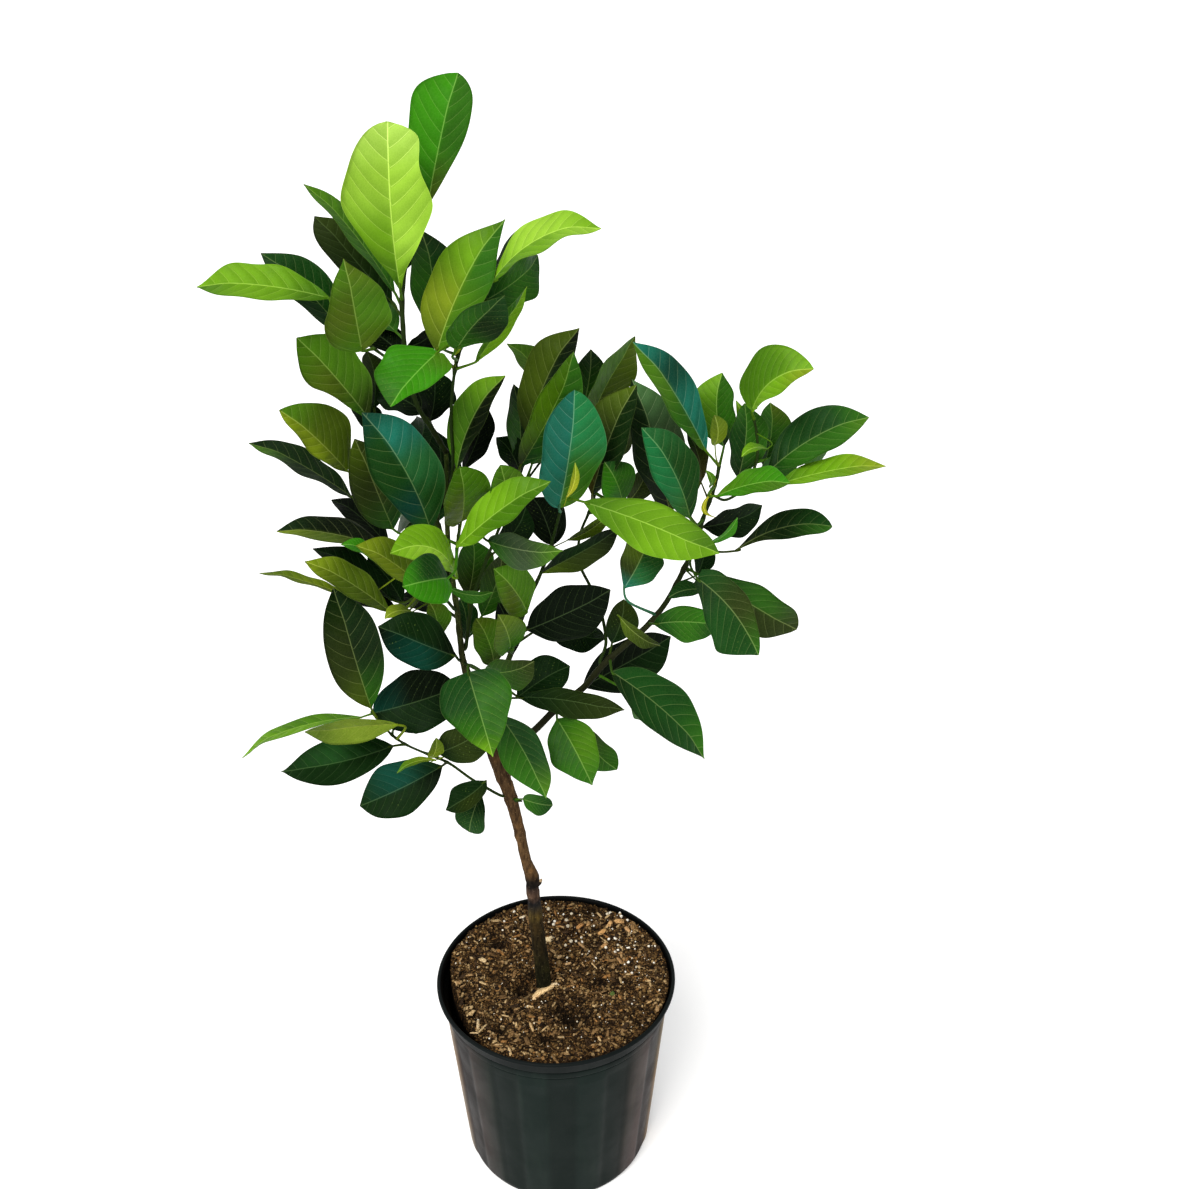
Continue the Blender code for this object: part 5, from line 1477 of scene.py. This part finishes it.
def put_grain(work, draw, x, y):
    """White perlite grain, more and larger ones at the back on the right."""
    share = min(1.0, max(0.0, (0.55 * x + y) / 110.0))
    if draw.random() <= 0.28 + 0.72 * share:
        size = 0.5 + (0.9 + 1.7 * share) * draw.random() ** FEW_LARGE
        tone = draw.choice(PERLITE_TONES)
        add_lump(work, draw, above_soil(x, y, size * 0.6), size, tone, 0.22, 0.9)


def potting_mix():
    """Grains of many browns, with painted shade in the gaps between them."""
    mat, tree, shader = shader_tree("potting_mix")
    colour = tone_of(tree)
    for scale, dark, pale in ((420.0, 0.42, 0.30), (1050.0, 0.45, 0.22)):
        grains = cells(places(tree), scale)
        pick = add_node(tree, "ShaderNodeSeparateColor", {}, {0: grains["Color"]}).outputs[0]
        shade = tinted(colour, (0.20, 0.17, 0.14))
        light = tinted(colour, (2.5, 2.5, 2.5))
        colour = mix(ramp(pick, dark - 0.2, dark + 0.1, 1.0, 0.0), colour, shade)
        colour = mix(ramp(pick, 0.95 - pale, 1.0, 0.0, 0.9), colour, light)
        # Painted shade in the gaps between grains
        colour = mix(ramp(grains["Distance"], 0.45, 0.75, 0.0, 0.75), colour, (0.008, 0.005, 0.003))
    finish(shader, colour, 0.95, 0.06, clouds(places(tree), 700.0, 3.0, 0.7), 0.9, 0.0016)
    return mat


def loose_mix(name, roughness):
    """One bit of the mix in its own tone, speckled."""
    mat, tree, shader = shader_tree(name)
    tone = tone_of(tree)
    grains = clouds(places(tree), 640.0, 3.0, 0.7)
    colour = mix(ramp(grains, 0.36, 0.54), tinted(tone, (0.42, 0.37, 0.30)), tinted(tone, (1.12, 1.1, 1.05)))
    finish(shader, colour, roughness, 0.06, grains, 0.7, 0.0012)
    return mat


# Stage, light and camera


def plain_stage():
    """White floor that glows a little, as paper under studio light does."""
    mesh = bpy.data.meshes.new("floor")
    corners = [(x * FLOOR_REACH, y * FLOOR_REACH, 0) for x, y in ((-1, -1), (1, -1), (1, 1), (-1, 1))]
    mesh.from_pydata(corners, [], [(0, 1, 2, 3)])
    mat, tree, shader = shader_tree("floor_paper")
    for key, value in FLOOR_LOOK.items():
        feed(shader.inputs[key], value)
    mesh.materials.append(mat)
    floor = add_object("floor", mesh)


def studio_light():
    """White surroundings and one broad warm key light from above."""
    world = bpy.data.worlds.new("studio")
    world.use_nodes = True
    background = world.node_tree.nodes["Background"]
    background.inputs["Color"].default_value = (1.0, 1.0, 1.0, 1.0)
    background.inputs["Strength"].default_value = SURROUND_STRENGTH
    bpy.context.scene.world = world
    light = bpy.data.lights.new("key", "SUN")
    light.energy = KEY_STRENGTH
    light.angle = KEY_SPREAD
    light.color = KEY_TINT
    add_object("key", light).rotation_euler = KEY_TURN


def camera():
    lens = bpy.data.cameras.new("camera")
    lens.sensor_fit = "HORIZONTAL"
    lens.sensor_width = SENSOR
    lens.clip_end = 400.0
    lens.lens = SENSOR * VIEW_FOCAL / VIEW_SIZE[0]
    obj = add_object("camera", lens)
    obj.location = VIEW_PLACE * MM
    obj.rotation_euler = (pi / 2 - VIEW_TILT, 0.0, 0.0)
    bpy.context.scene.camera = obj


camera()
studio_light()
plain_stage()
pot(black_plastic())
ground(potting_mix())
scatter("soil_crumbs", loose_mix("crumb", 0.95), put_crumb, CRUMB_COUNT, seed=31, margin=1.2)
scatter("bark_chips", loose_mix("bark_chip", 0.8), put_chip, CHIP_COUNT, seed=12, margin=3.0,
        placed=PLACED_CHIPS)
scatter("coir_fibres", loose_mix("coir", 0.85), put_strand, FIBRE_COUNT, seed=5, margin=8.0)
scatter("perlite_grains", loose_mix("perlite", 0.9), put_grain, PERLITE_COUNT, seed=44, margin=2.0)
trunk(bark())
foliage([upper_face("leaf_upper", 0.055, (0.085, 0.105, 0.035), 0.36), under_face(), green_stem(),
         upper_face("leaf_shade", 0.03, (0.028, 0.045, 0.016), 0.42)])
bpy.context.scene.view_settings.view_transform = "Standard"
